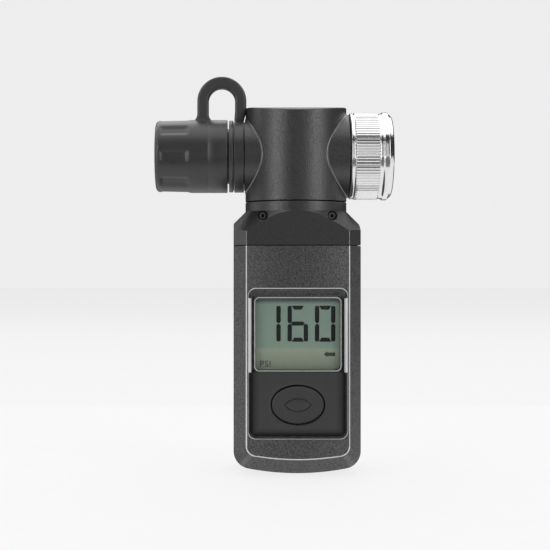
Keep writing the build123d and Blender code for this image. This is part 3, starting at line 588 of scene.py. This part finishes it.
BLACK_SCREW = even_finish("black_oxide", (0.09, 0.09, 0.094), 0.32, 0.3, 0.2, metallic=0.9)
PANE = window_clear()
PANE_EDGE = frosted_edge()
LCD_FACE = lcd_face()
LCD_INK = even_finish("display_segment", (0.015, 0.018, 0.018), 0.5, 0.6, 0.15, specular=0.1)
LCD_FAINT_INK = even_finish("display_unit", (0.06, 0.07, 0.064), 0.5, 0.6, 0.15, specular=0.1)
BOARD = even_finish("solder_mask", (0.02, 0.11, 0.05), 0.35, 0.5, 0.12)
EPOXY = even_finish("chip_epoxy", (0.025, 0.025, 0.025), 0.55)
NYLON = even_finish("natural_nylon", (0.55, 0.55, 0.52), 0.5, 0.7, 0.05)
GLASS_NYLON = even_finish("glass_filled_nylon", (0.1, 0.1, 0.1), 0.55, 0.3, 0.25)
PTFE = even_finish("ptfe", (0.78, 0.78, 0.76), 0.4, 1.0, 0.03)

NODE_MATERIALS = {
    "head_shell": HEAD,
    "shoulder_front": SHOULDER,
    "shoulder_rear": SHOULDER,
    "front_housing": HOUSING,
    "rear_housing": HOUSING,
    "shoulder_screws": SOCKET_SCREW,
    "case_screws": BLACK_SCREW,
    "display_window": PANE,
    "lcd_panel": LCD_FACE,
    "lcd_connector": SEAL,
    "dome_switch": SPRING_STEEL,
    "circuit_board": BOARD,
    "control_chip": EPOXY,
    "battery_tray": NYLON,
    "coin_cell": CELL_STEEL,
    "battery_contacts": SPRING_STEEL,
    "pressure_sensor": SENSOR_STEEL,
    "sensor_seal": SEAL,
    "swivel_socket": GLASS_NYLON,
    "air_manifold": ALUMINIUM,
    "swivel_spigot": BRASS,
    "swivel_o_rings": SEAL,
    "swivel_washer": PTFE,
    "port_hub": SHELL,
    "pump_valve_stem": BRASS,
    "valve_core_body": BRASS,
    "valve_pin": BRASS,
    "chuck_seal": SEAL,
    "valve_depressor": BRASS,
    "thread_insert": BRASS,
    "tether_ring": CAP_RUBBER,
    "battery_cover": BUTTON,
    "battery_cover_seal": SEAL,
}


def finish_nodes():
    """Gives every frame node that stays in view its finish."""
    for name, material in NODE_MATERIALS.items():
        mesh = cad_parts[name].data
        mesh.materials.clear()
        mesh.materials.append(material)


# --- Knurled collar --------------------------------------------------------------------------------------

TEETH, TOOTH_STEPS, TOOTH_DEPTH = 90, 5, 0.2
GROOVE_SHARE = 0.32  # half a groove's width, as a share of the pitch
KNURL_START, KNURL_STOP, KNURL_RUN_OUT = 13.87, 19.4, 0.22
COLLAR_R, BAND_R, BACK_BAND_R, WAIST_R, COLLAR_EDGE_R = 10.4, 10.55, 10.3, 10.2, 0.09


def knurl(x, r, angle):
    """The collar's radius, with straight teeth cut between the two plain bands."""
    hair = 0.01
    if r < COLLAR_R - hair or not KNURL_START + hair < x < KNURL_STOP - hair:
        return r
    phase = angle * TEETH / tau % 1.0
    groove = max(0.0, 1 - abs(phase - 0.5) / GROOVE_SHARE)
    return r - TOOTH_DEPTH * groove


def knurled_collar():
    """The chromed ring that screws the chuck on to a valve."""
    mouth, back = COLLAR_HIGH.x, COLLAR_LOW.x
    bore_r, wall_end, cavity_r = 5.05, 14.1, 7.2
    behind_knurl = [
        (back, 9.9),
        (12.95, BACK_BAND_R),
        (13.45, BACK_BAND_R),
        (13.6, 10.1),
        (KNURL_START, COLLAR_R),
    ]
    past_knurl = [
        (KNURL_STOP, COLLAR_R),
        (19.6, WAIST_R),
        (20.25, WAIST_R),
        (20.6, BAND_R),
        (21.65, BAND_R),
        (22.0, WAIST_R),
        (22.5, 9.85),
        (mouth, 9.4),
        (mouth, cavity_r),
        (wall_end, cavity_r),
        (wall_end, bore_r),
        (back, bore_r),
    ]
    corners = rounded(behind_knurl + past_knurl, COLLAR_EDGE_R, steps=2)
    split = next(i for i, (x, r) in enumerate(corners) if x > (KNURL_START + KNURL_STOP) / 2)
    teeth = [
        Vector((KNURL_START + KNURL_RUN_OUT, COLLAR_R)),
        Vector((KNURL_STOP - KNURL_RUN_OUT, COLLAR_R)),
    ]
    return turned("knurled_ring", corners[:split] + teeth + corners[split:], TEETH * TOOTH_STEPS, knurl)


# --- Dust cap --------------------------------------------------------------------------------------------

GRIPS, GRIP_TURN = 8, radians(-3.0)
GRIP_START, GRIP_STOP, GRIP_HALF, GRIP_CORNER, GRIP_WALL, GRIP_DEPTH = -32.9, -25.3, 1.9, 1.2, 1.4, 0.42
CAP_SEAM, CAP_SEAM_HALF, CAP_SEAM_DEPTH = -21.1, 0.07, 0.04
CAP_EDGE_R, CAP_CORNER_STEPS, CAP_ROWS, CAP_SPOKES = 0.16, 8, 30, 320
PAST_GRIPS, PAST_SEAM = 0.3, 2.1  # how far on towards the mouth the next points of the outline stand
CAP_INSIDE_R = 8.0  # the grips leave whatever is nearer the axis as it is


def grip(x, r, angle):
    """The cap's radius, with scooped grips let into its closed end."""
    if r < CAP_INSIDE_R:
        return r
    step = tau / GRIPS
    off = (angle - GRIP_TURN + step / 2) % step - step / 2
    along = abs(x - (GRIP_START + GRIP_STOP) / 2) - (GRIP_STOP - GRIP_START) / 2 + GRIP_CORNER
    across = abs(off) * r - GRIP_HALF + GRIP_CORNER
    outside = hypot(max(along, 0), max(across, 0)) + min(max(along, across), 0) - GRIP_CORNER
    return r - GRIP_DEPTH * blend_between(0.0, GRIP_WALL, -outside)


def dust_cap():
    """The rubber cap, with its inner sleeve, on the pump-side stem."""
    closed, mouth, outer = CAP_LOW.x, CAP_HIGH.x, CAP_HIGH.y
    bore_r, sleeve_r, inner_r, end_wall, lip = 3.9, 5.3, 7.0, 2.4, 1.5
    grip_r, corner_r, rim = 8.6, 1.1, 2.0
    profile = [Vector((closed, 0.0)), Vector((closed, grip_r - corner_r - rim))]
    for i in range(CAP_CORNER_STEPS + 1):
        turn = pi / 2 * i / CAP_CORNER_STEPS
        profile.append(Vector((closed + corner_r * (1 - cos(turn)), grip_r - corner_r * (1 - sin(turn)))))
    first, last = closed + corner_r, GRIP_STOP + PAST_GRIPS
    for i in range(1, CAP_ROWS + 1):
        x = first + (last - first) * i / CAP_ROWS
        profile.append(Vector((x, grip_r + (outer - grip_r) * (x - first) / (last - first))))
    for side, depth in ((-1.6, 0), (-0.8, CAP_SEAM_DEPTH), (0.8, CAP_SEAM_DEPTH), (1.6, 0)):
        profile.append(Vector((CAP_SEAM + side * CAP_SEAM_HALF, outer - depth)))
    inside = [
        (CAP_SEAM + PAST_SEAM, outer),
        (mouth, outer),
        (mouth, inner_r),
        (closed + end_wall, inner_r),
        (closed + end_wall, sleeve_r),
        (mouth - lip, sleeve_r),
        (mouth - lip, bore_r),
        (closed + end_wall, bore_r),
        (closed + end_wall, 0.0),
    ]
    profile += rounded(inside, CAP_EDGE_R, closed=False, steps=2)
    return turned("dust_cap_shell", profile, CAP_SPOKES, grip, wrap=False, sharp_deg=40.0)


# --- Tether strap ----------------------------------------------------------------------------------------

STRAP_HALF, STRAP_EDGE, EDGE_STEPS = 1.36, 0.5, 3
FOOT_RISE, FOOT_FLARE, FOOT_DEEPER, FOOT_SUNK, RING_GAP = 2.3, 2.2, 0.3, 0.8, 0.02
LEG_STEPS, LEG_EASE, ARCH_STEPS = 12, 1.4, 32  # the ease crowds the leg's sections towards its foot
NARROW_FROM, NARROW_TO = 0.35, 0.95  # where the other leg narrows to its ring, as shares of its length


def strap_section(x, z, outward, half_w, half_d):
    """One cross-section of the strap: a rounded rectangle, across the direction given and through y."""
    ring = []
    for sx, sy, start in ((1, 1, 0), (-1, 1, 1), (-1, -1, 2), (1, -1, 3)):
        for i in range(EDGE_STEPS + 1):
            turn = (start + i / EDGE_STEPS) * pi / 2
            across = sx * (half_w - STRAP_EDGE) + STRAP_EDGE * cos(turn)
            deep = sy * (half_d - STRAP_EDGE) + STRAP_EDGE * sin(turn)
            ring.append(at(x + outward[0] * across, deep, z + outward[1] * across))
    return ring


def tether_strap():
    """The strap that ties the cap to its ring: two legs and a round arch, with a flared foot on the cap."""
    left, right = LOOP_LOW.x, LOOP_HIGH.x
    centre_x, half_d = (left + right) / 2, LOOP_HIGH.y
    arch_r = (right - left) / 2 - STRAP_HALF
    arch_z = LOOP_HIGH.z - (right - left) / 2
    foot = CAP_HIGH.y - FOOT_SUNK
    ring_half = (RING_HIGH.x - RING_LOW.x) / 2 - RING_GAP
    ring_x = (RING_HIGH.x + RING_LOW.x) / 2
    rings = []
    for i in range(LEG_STEPS):
        z = foot + (arch_z - foot) * (i / LEG_STEPS) ** LEG_EASE
        u = min(1.0, max(0.0, (foot + FOOT_RISE - z) / FOOT_RISE))
        flare = FOOT_FLARE * (1 - sqrt(1 - u * u))
        half_w, foot_d = STRAP_HALF + flare, half_d + FOOT_DEEPER * flare
        rings.append(strap_section(centre_x - arch_r, z, (-1, 0), half_w, foot_d))
    for i in range(ARCH_STEPS + 1):
        turn = pi - pi * i / ARCH_STEPS
        spot = centre_x + arch_r * cos(turn), arch_z + arch_r * sin(turn)
        rings.append(strap_section(*spot, (cos(turn), sin(turn)), STRAP_HALF, half_d))
    for i in range(1, LEG_STEPS + 1):
        t = i / LEG_STEPS
        z = arch_z + (foot - arch_z) * t
        narrow = blend_between(NARROW_FROM, NARROW_TO, t)
        x = centre_x + arch_r + (ring_x - centre_x - arch_r) * narrow
        half_w = STRAP_HALF + (ring_half - STRAP_HALF) * narrow
        rings.append(strap_section(x, z, (1, 0), half_w, half_d))
    rings.insert(0, [sum(rings[0], Vector()) / len(rings[0])])
    rings.append([sum(rings[-1], Vector()) / len(rings[-1])])
    return skin("tether_strap", rings)


# --- Valve spring ----------------------------------------------------------------------------------------

SPRING_WIRE_R, SPRING_TURNS, SPRING_GAP, PIN_TRAVEL = 0.2, 5, 0.05, 1.2
TURN_STEPS, WIRE_SIDES = 24, 8


def valve_spring():
    """The coil that returns the valve pin. On the gauge it closes up against the barrel as the pin goes in;
    here it is made at rest only.
    """
    low, high = SPRING_LOW, SPRING_HIGH
    coil_r, start, length = high.z - SPRING_WIRE_R, low.x + SPRING_WIRE_R, high.x - low.x - 2 * SPRING_WIRE_R
    steps = SPRING_TURNS * TURN_STEPS
    rings = []
    for i in range(steps + 1):
        turn, along = tau * i / TURN_STEPS, start + length * i / steps
        ring = []
        for j in range(WIRE_SIDES):
            round_wire = tau * j / WIRE_SIDES
            side, out = SPRING_WIRE_R * sin(round_wire), coil_r + SPRING_WIRE_R * cos(round_wire)
            ring.append(at(along + side, out * cos(turn), out * sin(turn)))
        rings.append(ring)
    return skin("valve_spring_coil", rings)


# --- Keypad ----------------------------------------------------------------------------------------------

BUTTON_RX, BUTTON_RZ, GROOVE = 6.05, 4.4, 0.3
SPOKES, PAD_ROWS = 160, 14
SPOKE_ANGLES = [tau * i / SPOKES for i in range(SPOKES)]
PAD_CORNER, PAD_SQUARE_CORNER, PAD_SLOPE, PAD_DROP = 1.5, 0.3, 1.3, 0.4
PAD_SIDE_GAP, PAD_FOOT_GAP = 0.12, 0.05
EYE_HALF_W, EYE_HALF_H, EYE_GROOVE = 3.05, 1.5, 0.24


def ellipse_reach(rx, rz, angle):
    """How far an ellipse reaches from its centre at an angle."""
    return rx * rz / hypot(rz * cos(angle), rx * sin(angle))


def pad_reach(half_w, up, down, angle):
    """How far the pad's outline reaches from the button's centre at an angle: square above, round below."""
    dx, dz, tiny = cos(angle), sin(angle), 1e-9
    half_h = up if dz > 0 else down
    reach = min(half_w / max(abs(dx), tiny), half_h / max(abs(dz), tiny))
    r = PAD_CORNER if dz < 0 else PAD_SQUARE_CORNER
    cx, cz = half_w - r, half_h - r
    x, z = abs(dx) * reach, abs(dz) * reach
    if x > cx and z > cz:
        along = cx * abs(dx) + cz * abs(dz)
        reach = along + sqrt(max(0.0, along * along - cx * cx - cz * cz + r * r))
    return reach


def keypad_pad(button_z):
    """The keypad's rubber face: a raised field with a soft dark border, and an oval hole for the button."""
    front, back = PAD_LOW.y, PAD_HIGH.y
    half_w = PAD_HIGH.x - PAD_SIDE_GAP
    up, down = PAD_HIGH.z - button_z, button_z - PAD_LOW.z - PAD_FOOT_GAP
    hole = BUTTON_RX + GROOVE, BUTTON_RZ + GROOVE

    def ring(share, y_at):
        points = []
        for angle in SPOKE_ANGLES:
            inner = ellipse_reach(*hole, angle)
            outer = pad_reach(half_w, up, down, angle)
            reach = inner + (outer - inner) * share
            x, z = reach * cos(angle), reach * sin(angle)
            points.append(at(x, y_at(x, z), button_z + z))
        return points

    def face(x, z):
        border = min(half_w - abs(x), z + down)
        return front + PAD_DROP * (1 - blend_between(0.15, PAD_SLOPE, border))

    def level(y):
        return lambda x, z: y

    edge_share = 0.06
    rings = [ring(0.0, level(back)), ring(0.0, level(front + 0.25)), ring(0.02, level(front + 0.07))]
    for i in range(PAD_ROWS + 1):
        rings.append(ring(edge_share + (1 - edge_share) * (i / PAD_ROWS) ** 0.8, face))
    rings.append(ring(1.0, level(back)))
    return skin("keypad_face", rings, wrap=True)


def eye_reach(half_w, half_h, angle):
    """How far a pointed eye shape, made of two arcs, reaches from its centre at an angle."""
    arc_r = (half_w**2 + half_h**2) / (2 * half_h)
    drop = arc_r - half_h
    return sqrt(arc_r**2 - (drop * cos(angle)) ** 2) - drop * abs(sin(angle))


def mode_button(button_z):
    """The oval button, softly dished and with an eye outlined at its centre, its flange and its plunger."""
    front, back = BUTTON_LOW.y, BUTTON_HIGH.y
    flange_front, flange_back, plunger_r = -9.8, -9.2, 1.2

    def ring(reach_at, y):
        reaches = [(angle, reach_at(angle)) for angle in SPOKE_ANGLES]
        return [at(reach * cos(angle), y, button_z + reach * sin(angle)) for angle, reach in reaches]

    def eye(grow, share=1.0):
        return lambda angle: share * (eye_reach(EYE_HALF_W, EYE_HALF_H, angle) + grow)

    def oval(grow):
        return lambda angle: ellipse_reach(BUTTON_RX, BUTTON_RZ, angle) + grow

    def between(share):
        low, high = eye(0.3), oval(-0.35)
        return lambda angle: low(angle) + (high(angle) - low(angle)) * share

    def plunger(angle):
        return plunger_r

    dish, dish_rise, dish_rows = front + 0.062, 0.05, 4
    island = [(eye(-0.3, 0.35), front), (eye(-0.3, 0.7), front), (eye(-0.3), front + 0.005)]
    groove = [
        (eye(-0.2), front + 0.04),
        (eye(-0.12), front + EYE_GROOVE),
        (eye(0.06), front + EYE_GROOVE),
        (eye(0.16), front + 0.07),
    ]
    shares = [i / dish_rows for i in range(dish_rows + 1)]
    face = [(between(share), dish - dish_rise * share) for share in shares]
    rim = [(oval(-0.2), front + 0.13), (oval(-0.07), front + 0.2), (oval(0.0), front + 0.4)]
    flange = [(oval(0.0), flange_front), (oval(1.0), flange_front), (oval(1.0), flange_back)]
    stem = [(plunger, flange_back), (plunger, back)]
    rings = [ring(reach, y) for reach, y in island + groove + face + rim + flange + stem]
    return skin("button_top", [[at(0, front, button_z)], *rings, [at(0, back, button_z)]])


# --- Display ---------------------------------------------------------------------------------------------

DIGIT_PITCH, DIGIT_W, DIGIT_TOP, DIGIT_BOTTOM = 6.4, 4.8, -35.7, -44.15
LAST_DIGIT_RIGHT, BAR, BAR_GAP, BAR_CLIP = 8.85, 1.02, 0.07, 0.26
INK_FRONT, INK_BACK = LCD_LOW.y - 0.03, LCD_LOW.y - 0.005
SEGMENTS = {"0": "abcdef", "1": "bc", "6": "acdefg"}
READING = "160"


def segment(letter, left, right):
    """The outline of one bar of a seven-bar digit, with mitred and slightly clipped ends."""
    middle_z = (DIGIT_TOP + DIGIT_BOTTOM) / 2 + 0.02
    if letter in "adg":
        start, end = left + BAR - 0.02, right - BAR + 0.02
        if letter == "g":
            point, cut, half = 0.25, 0.2, 0.48
            upper = [(start + cut, middle_z + half), (end - cut, middle_z + half)]
            lower = [(end - cut, middle_z - half), (start + cut, middle_z - half)]
            return [(start - point, middle_z), *upper, (end + point, middle_z), *lower]
        edge, inward = (DIGIT_TOP, -1) if letter == "a" else (DIGIT_BOTTOM, 1)
        nick, nick_z = 0.1, edge + inward * 0.25
        mitre, inner_z = 0.55, edge + inward * 0.95
        right_end = [(end, edge), (end - nick, nick_z), (end - mitre, inner_z)]
        left_end = [(start + mitre, inner_z), (start + nick, nick_z)]
        return [(start, edge), *right_end, *left_end]
    inner, outer = (left + BAR, left) if letter in "ef" else (right - BAR, right)
    side = 1 if outer > inner else -1
    end, toward = (DIGIT_TOP, -1) if letter in "bf" else (DIGIT_BOTTOM, 1)
    tip, stop = end + toward * 0.05, middle_z - toward * BAR_GAP
    return [
        (inner, end + toward * 0.3),
        (inner + side * 0.22, end + toward * 0.08),
        (outer - side * BAR_CLIP, tip),
        (outer, tip + toward * BAR_CLIP),
        (outer, stop - toward * 0.42),
        (outer - side * 0.36, stop),
        (inner + side * 0.34, stop),
        (inner, stop - toward * 0.36),
    ]


def reading():
    """The bars that are dark for a reading of 160."""
    outlines = []
    for place, digit in enumerate(reversed(READING)):
        right = LAST_DIGIT_RIGHT - place * DIGIT_PITCH
        outlines += [segment(letter, right - DIGIT_W, right) for letter in SEGMENTS[digit]]
    return prism("display_digits", outlines, INK_FRONT, INK_BACK)


def arrow():
    """The small pointer beside the reading."""
    left, right, z = 6.1, 8.8, -47.1
    barb, barb_half, neck, half = left + 0.75, 0.62, left + 1.0, 0.42
    upper = [(barb, z + barb_half), (neck, z + half), (right, z + half)]
    lower = [(right, z - half), (neck, z - half), (barb, z - barb_half)]
    return prism("display_arrow", [[(left, z), *upper, *lower]], INK_FRONT, INK_BACK)


def unit_letters():
    """The pressure unit, in plain thin letters."""
    cap_height, left, base, half_thick = 1.42, -8.9, -50.0, 0.012
    cap_share = 0.7  # a capital's height, as a share of the font's size
    text = bpy.data.curves.new("unit", "FONT")
    text.body = "PSI"
    text.size = cap_height / cap_share * MM
    text.space_character = 1.12
    text.extrude = half_thick * MM
    text.resolution_u = 4
    holder = add_object("unit_text", text)
    bpy.context.view_layer.update()
    mesh = bpy.data.meshes.new_from_object(holder)
    bpy.data.objects.remove(holder)
    corner = at(left, LCD_LOW.y - 0.02, base)
    for vertex in mesh.vertices:
        x, z, y = vertex.co
        vertex.co = (corner.x + x, corner.y - y, corner.z + z)
    mesh.name = "display_unit"
    return add_object("display_unit", mesh)


PANE_CORNER, PANE_CORNER_STEPS, PANE_OVERHANG = 1.26, 8, 0.03


def pane_outline(inset):
    """The points round the pane, a given way in from just outside its edge, as (x, z)."""
    half_w = WINDOW_HIGH.x - inset + PANE_OVERHANG
    top, bottom = WINDOW_HIGH.z - inset + PANE_OVERHANG, WINDOW_LOW.z + inset - PANE_OVERHANG
    r = PANE_CORNER - inset
    points = []
    for sx, z, sz, start in ((1, top, 1, 0), (-1, top, 1, 1), (-1, bottom, -1, 2), (1, bottom, -1, 3)):
        for i in range(PANE_CORNER_STEPS + 1):
            turn = (start + i / PANE_CORNER_STEPS) * pi / 2
            points.append((sx * (half_w - r) + r * cos(turn), z - sz * r + r * sin(turn)))
    return points


def pane_edge():
    """The pale ground edge that frames the pane: a low rounded bead."""
    wide, low = 0.24, 0.2
    rows = ((0.03, low), (0.0, low), (0.0, 0.1), (wide / 2, -0.02), (wide, 0.02))
    rings = [[at(x, WINDOW_LOW.y + deep, z) for x, z in pane_outline(inset)] for inset, deep in rows]
    return skin("window_edge", rings, wrap=True)


# --- Stage, lights and camera ----------------------------------------------------------------------------

CAMERA_PLACE = (-13.48, -326.0, -26.9)
VIEW_WIDTH = 132.8  # what the picture spans at the gauge's axis
SENSOR = 36.0
SHIFT = (0.0636, -0.0127)
LAMP_AIM = (-6.0, 0.0, -25.0)
FLOOR_HALF, WALL_R = 3.0, 3.0  # in metres, as are the cards' corners and the lamps' distances and sizes
FLOOR_Z, CARD_RISE = CAD_BOX[0][2] - 0.0002, 0.001
PAPER_GREY, PAPER_GLOW = 0.1, 0.8


def add_camera():
    """A level camera in front of the gauge, a little left of its axis."""
    data = bpy.data.cameras.new("camera")
    data.sensor_width = SENSOR
    data.lens = SENSOR * -CAMERA_PLACE[1] / VIEW_WIDTH
    data.shift_x, data.shift_y = SHIFT
    data.clip_start = 0.01
    data.clip_end = 20.0
    camera = add_object("camera", data)
    camera.location = at(*CAMERA_PLACE)
    camera.rotation_euler = (pi / 2, 0, 0)
    bpy.context.scene.camera = camera


LAMPS = (  # name, azimuth, elevation, distance, size and brightness
    ("left_lamp", -46, 4, 0.6, (0.26, 0.7), 3.4),
    ("right_lamp", 46, 4, 0.6, (0.26, 0.7), 3.4),
    ("front_lamp", 6, 14, 1.3, (0.25, 0.75), 0.6),
    ("front_card", 0, 2, 1.6, (3.0, 2.4), 0.05),
    ("top_lamp", 0, 103, 0.6, (1.9, 1.28), 1.55),
    ("rear_lamp", 180, 50, 2.4, (2.2, 1.4), 1.0),
    ("rear_left_lamp", -106, 5, 2.4, (1.2, 2.4), 1.3),
)


def softbox(name, azimuth, elevation, distance, size, brightness):
    """A rectangular lamp that looks at the gauge, as bright as a surface of that brightness. Azimuth 0 is in
    front, and grows to the right."""
    turn, rise = radians(azimuth), radians(elevation)
    data = bpy.data.lights.new(name, "AREA")
    data.shape = "RECTANGLE"
    data.size, data.size_y = size
    data.energy = brightness * pi * size[0] * size[1]
    lamp = add_object(name, data)
    out = Vector((sin(turn) * cos(rise), -cos(turn) * cos(rise), sin(rise)))
    lamp.location = at(*LAMP_AIM) + out * distance
    lamp.rotation_euler = out.to_track_quat("Z", "Y").to_euler()
    lamp.visible_camera = False


def glowing(name, colour, glow):
    """A paper that takes the lamps' light and glows evenly a little as well, as if lit from far off."""
    made = Recipe(name, Specular_IOR_Level=0.1, Emission_Color=(1, 1, 1, 1), Emission_Strength=glow)
    made.clouds(made.noise(30.0), colour, colour * 1.02)
    made.roughness(made.spread(made.noise(5.0), 0.8, 0.7))
    return made.material


def sheet(name, height, paper, *cards):
    """Level cards at one height, each from its four corners."""
    mesh = bpy.data.meshes.new(name)
    corners = [(x, y, height) for card in cards for x, y in card]
    mesh.from_pydata(corners, [], [range(i, i + 4) for i in range(0, len(corners), 4)])
    mesh.materials.append(paper)
    return add_object(name, mesh)


def surround():
    """A wide pale floor under the gauge, a pale wall all round it that throws no light on it, and dark cards
    on the floor before and behind it that show only in what its smooth parts reflect."""
    half = FLOOR_HALF
    all_round = (-half, -half), (half, -half), (half, half), (-half, half)
    floor = sheet("floor", FLOOR_Z, glowing("floor_paper", PAPER_GREY, PAPER_GLOW), all_round)
    shape = bmesh.new()
    bmesh.ops.create_uvsphere(shape, u_segments=64, v_segments=32, radius=WALL_R)
    mesh = mesh_of("wall", shape)
    mesh.shade_smooth()
    mesh.materials.append(glowing("wall_paper", PAPER_GREY, PAPER_GLOW))
    wall = add_object("wall", mesh)
    wall.visible_diffuse = wall.visible_glossy = wall.visible_transmission = wall.visible_shadow = False
    before = (-1, -1.2), (1, -1.2), (0.5, -0.125), (-0.5, -0.125)
    behind = (-0.5, 0.15), (0.5, 0.15), (half, half), (-half, half)
    card = sheet("dark_card", FLOOR_Z + CARD_RISE, glowing("dark_paper", 0.02, 0.12), before, behind)
    card.visible_camera = card.visible_diffuse = card.visible_shadow = False


def studio():
    """Plain soft studio light: a lamp on each side in front, a narrow dim one and a wide faint one between
    them, a broad one overhead, and weaker ones behind."""
    world = bpy.data.worlds.new("studio")
    bpy.context.scene.world = world
    world.use_nodes = True
    background = world.node_tree.nodes["Background"]
    background.inputs["Color"].default_value = (0.8, 0.8, 0.81, 1)
    background.inputs["Strength"].default_value = 0.03
    for lamp in LAMPS:
        softbox(*lamp)
    bpy.context.scene.view_settings.view_transform = "Standard"


# --- Assembly --------------------------------------------------------------------------------------------

finish_nodes()
button_z = middle("mode_button").z / MM

fit(even_normals(knurled_collar()), CHROME, "collar", "chrome_plate", "knurled_collar")
fit(even_normals(dust_cap()), CAP_RUBBER, "cap", "cap_rubber", "dust_cap")
fit(keypad_pad(button_z), PAD_RUBBER, "gauge_body", "keypad_rubber", "keypad_pad")
fit(mode_button(button_z), BUTTON, "button", "button_plastic", "mode_button")
fit(pane_edge(), PANE_EDGE, "gauge_body", "window_clear")
fit(reading(), LCD_INK, "gauge_body", "lcd_glass")
fit(arrow(), LCD_FAINT_INK, "gauge_body", "lcd_glass")
fit(unit_letters(), LCD_FAINT_INK, "gauge_body", "lcd_glass")

strap = tether_strap()
strap.data.materials.append(STRAP_RUBBER)
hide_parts("tether_loop")
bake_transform(strap)

spring = fit(valve_spring(), SPRING_STEEL, "head", "spring_steel", "valve_spring")
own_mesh(spring)

surround()
studio()
add_camera()
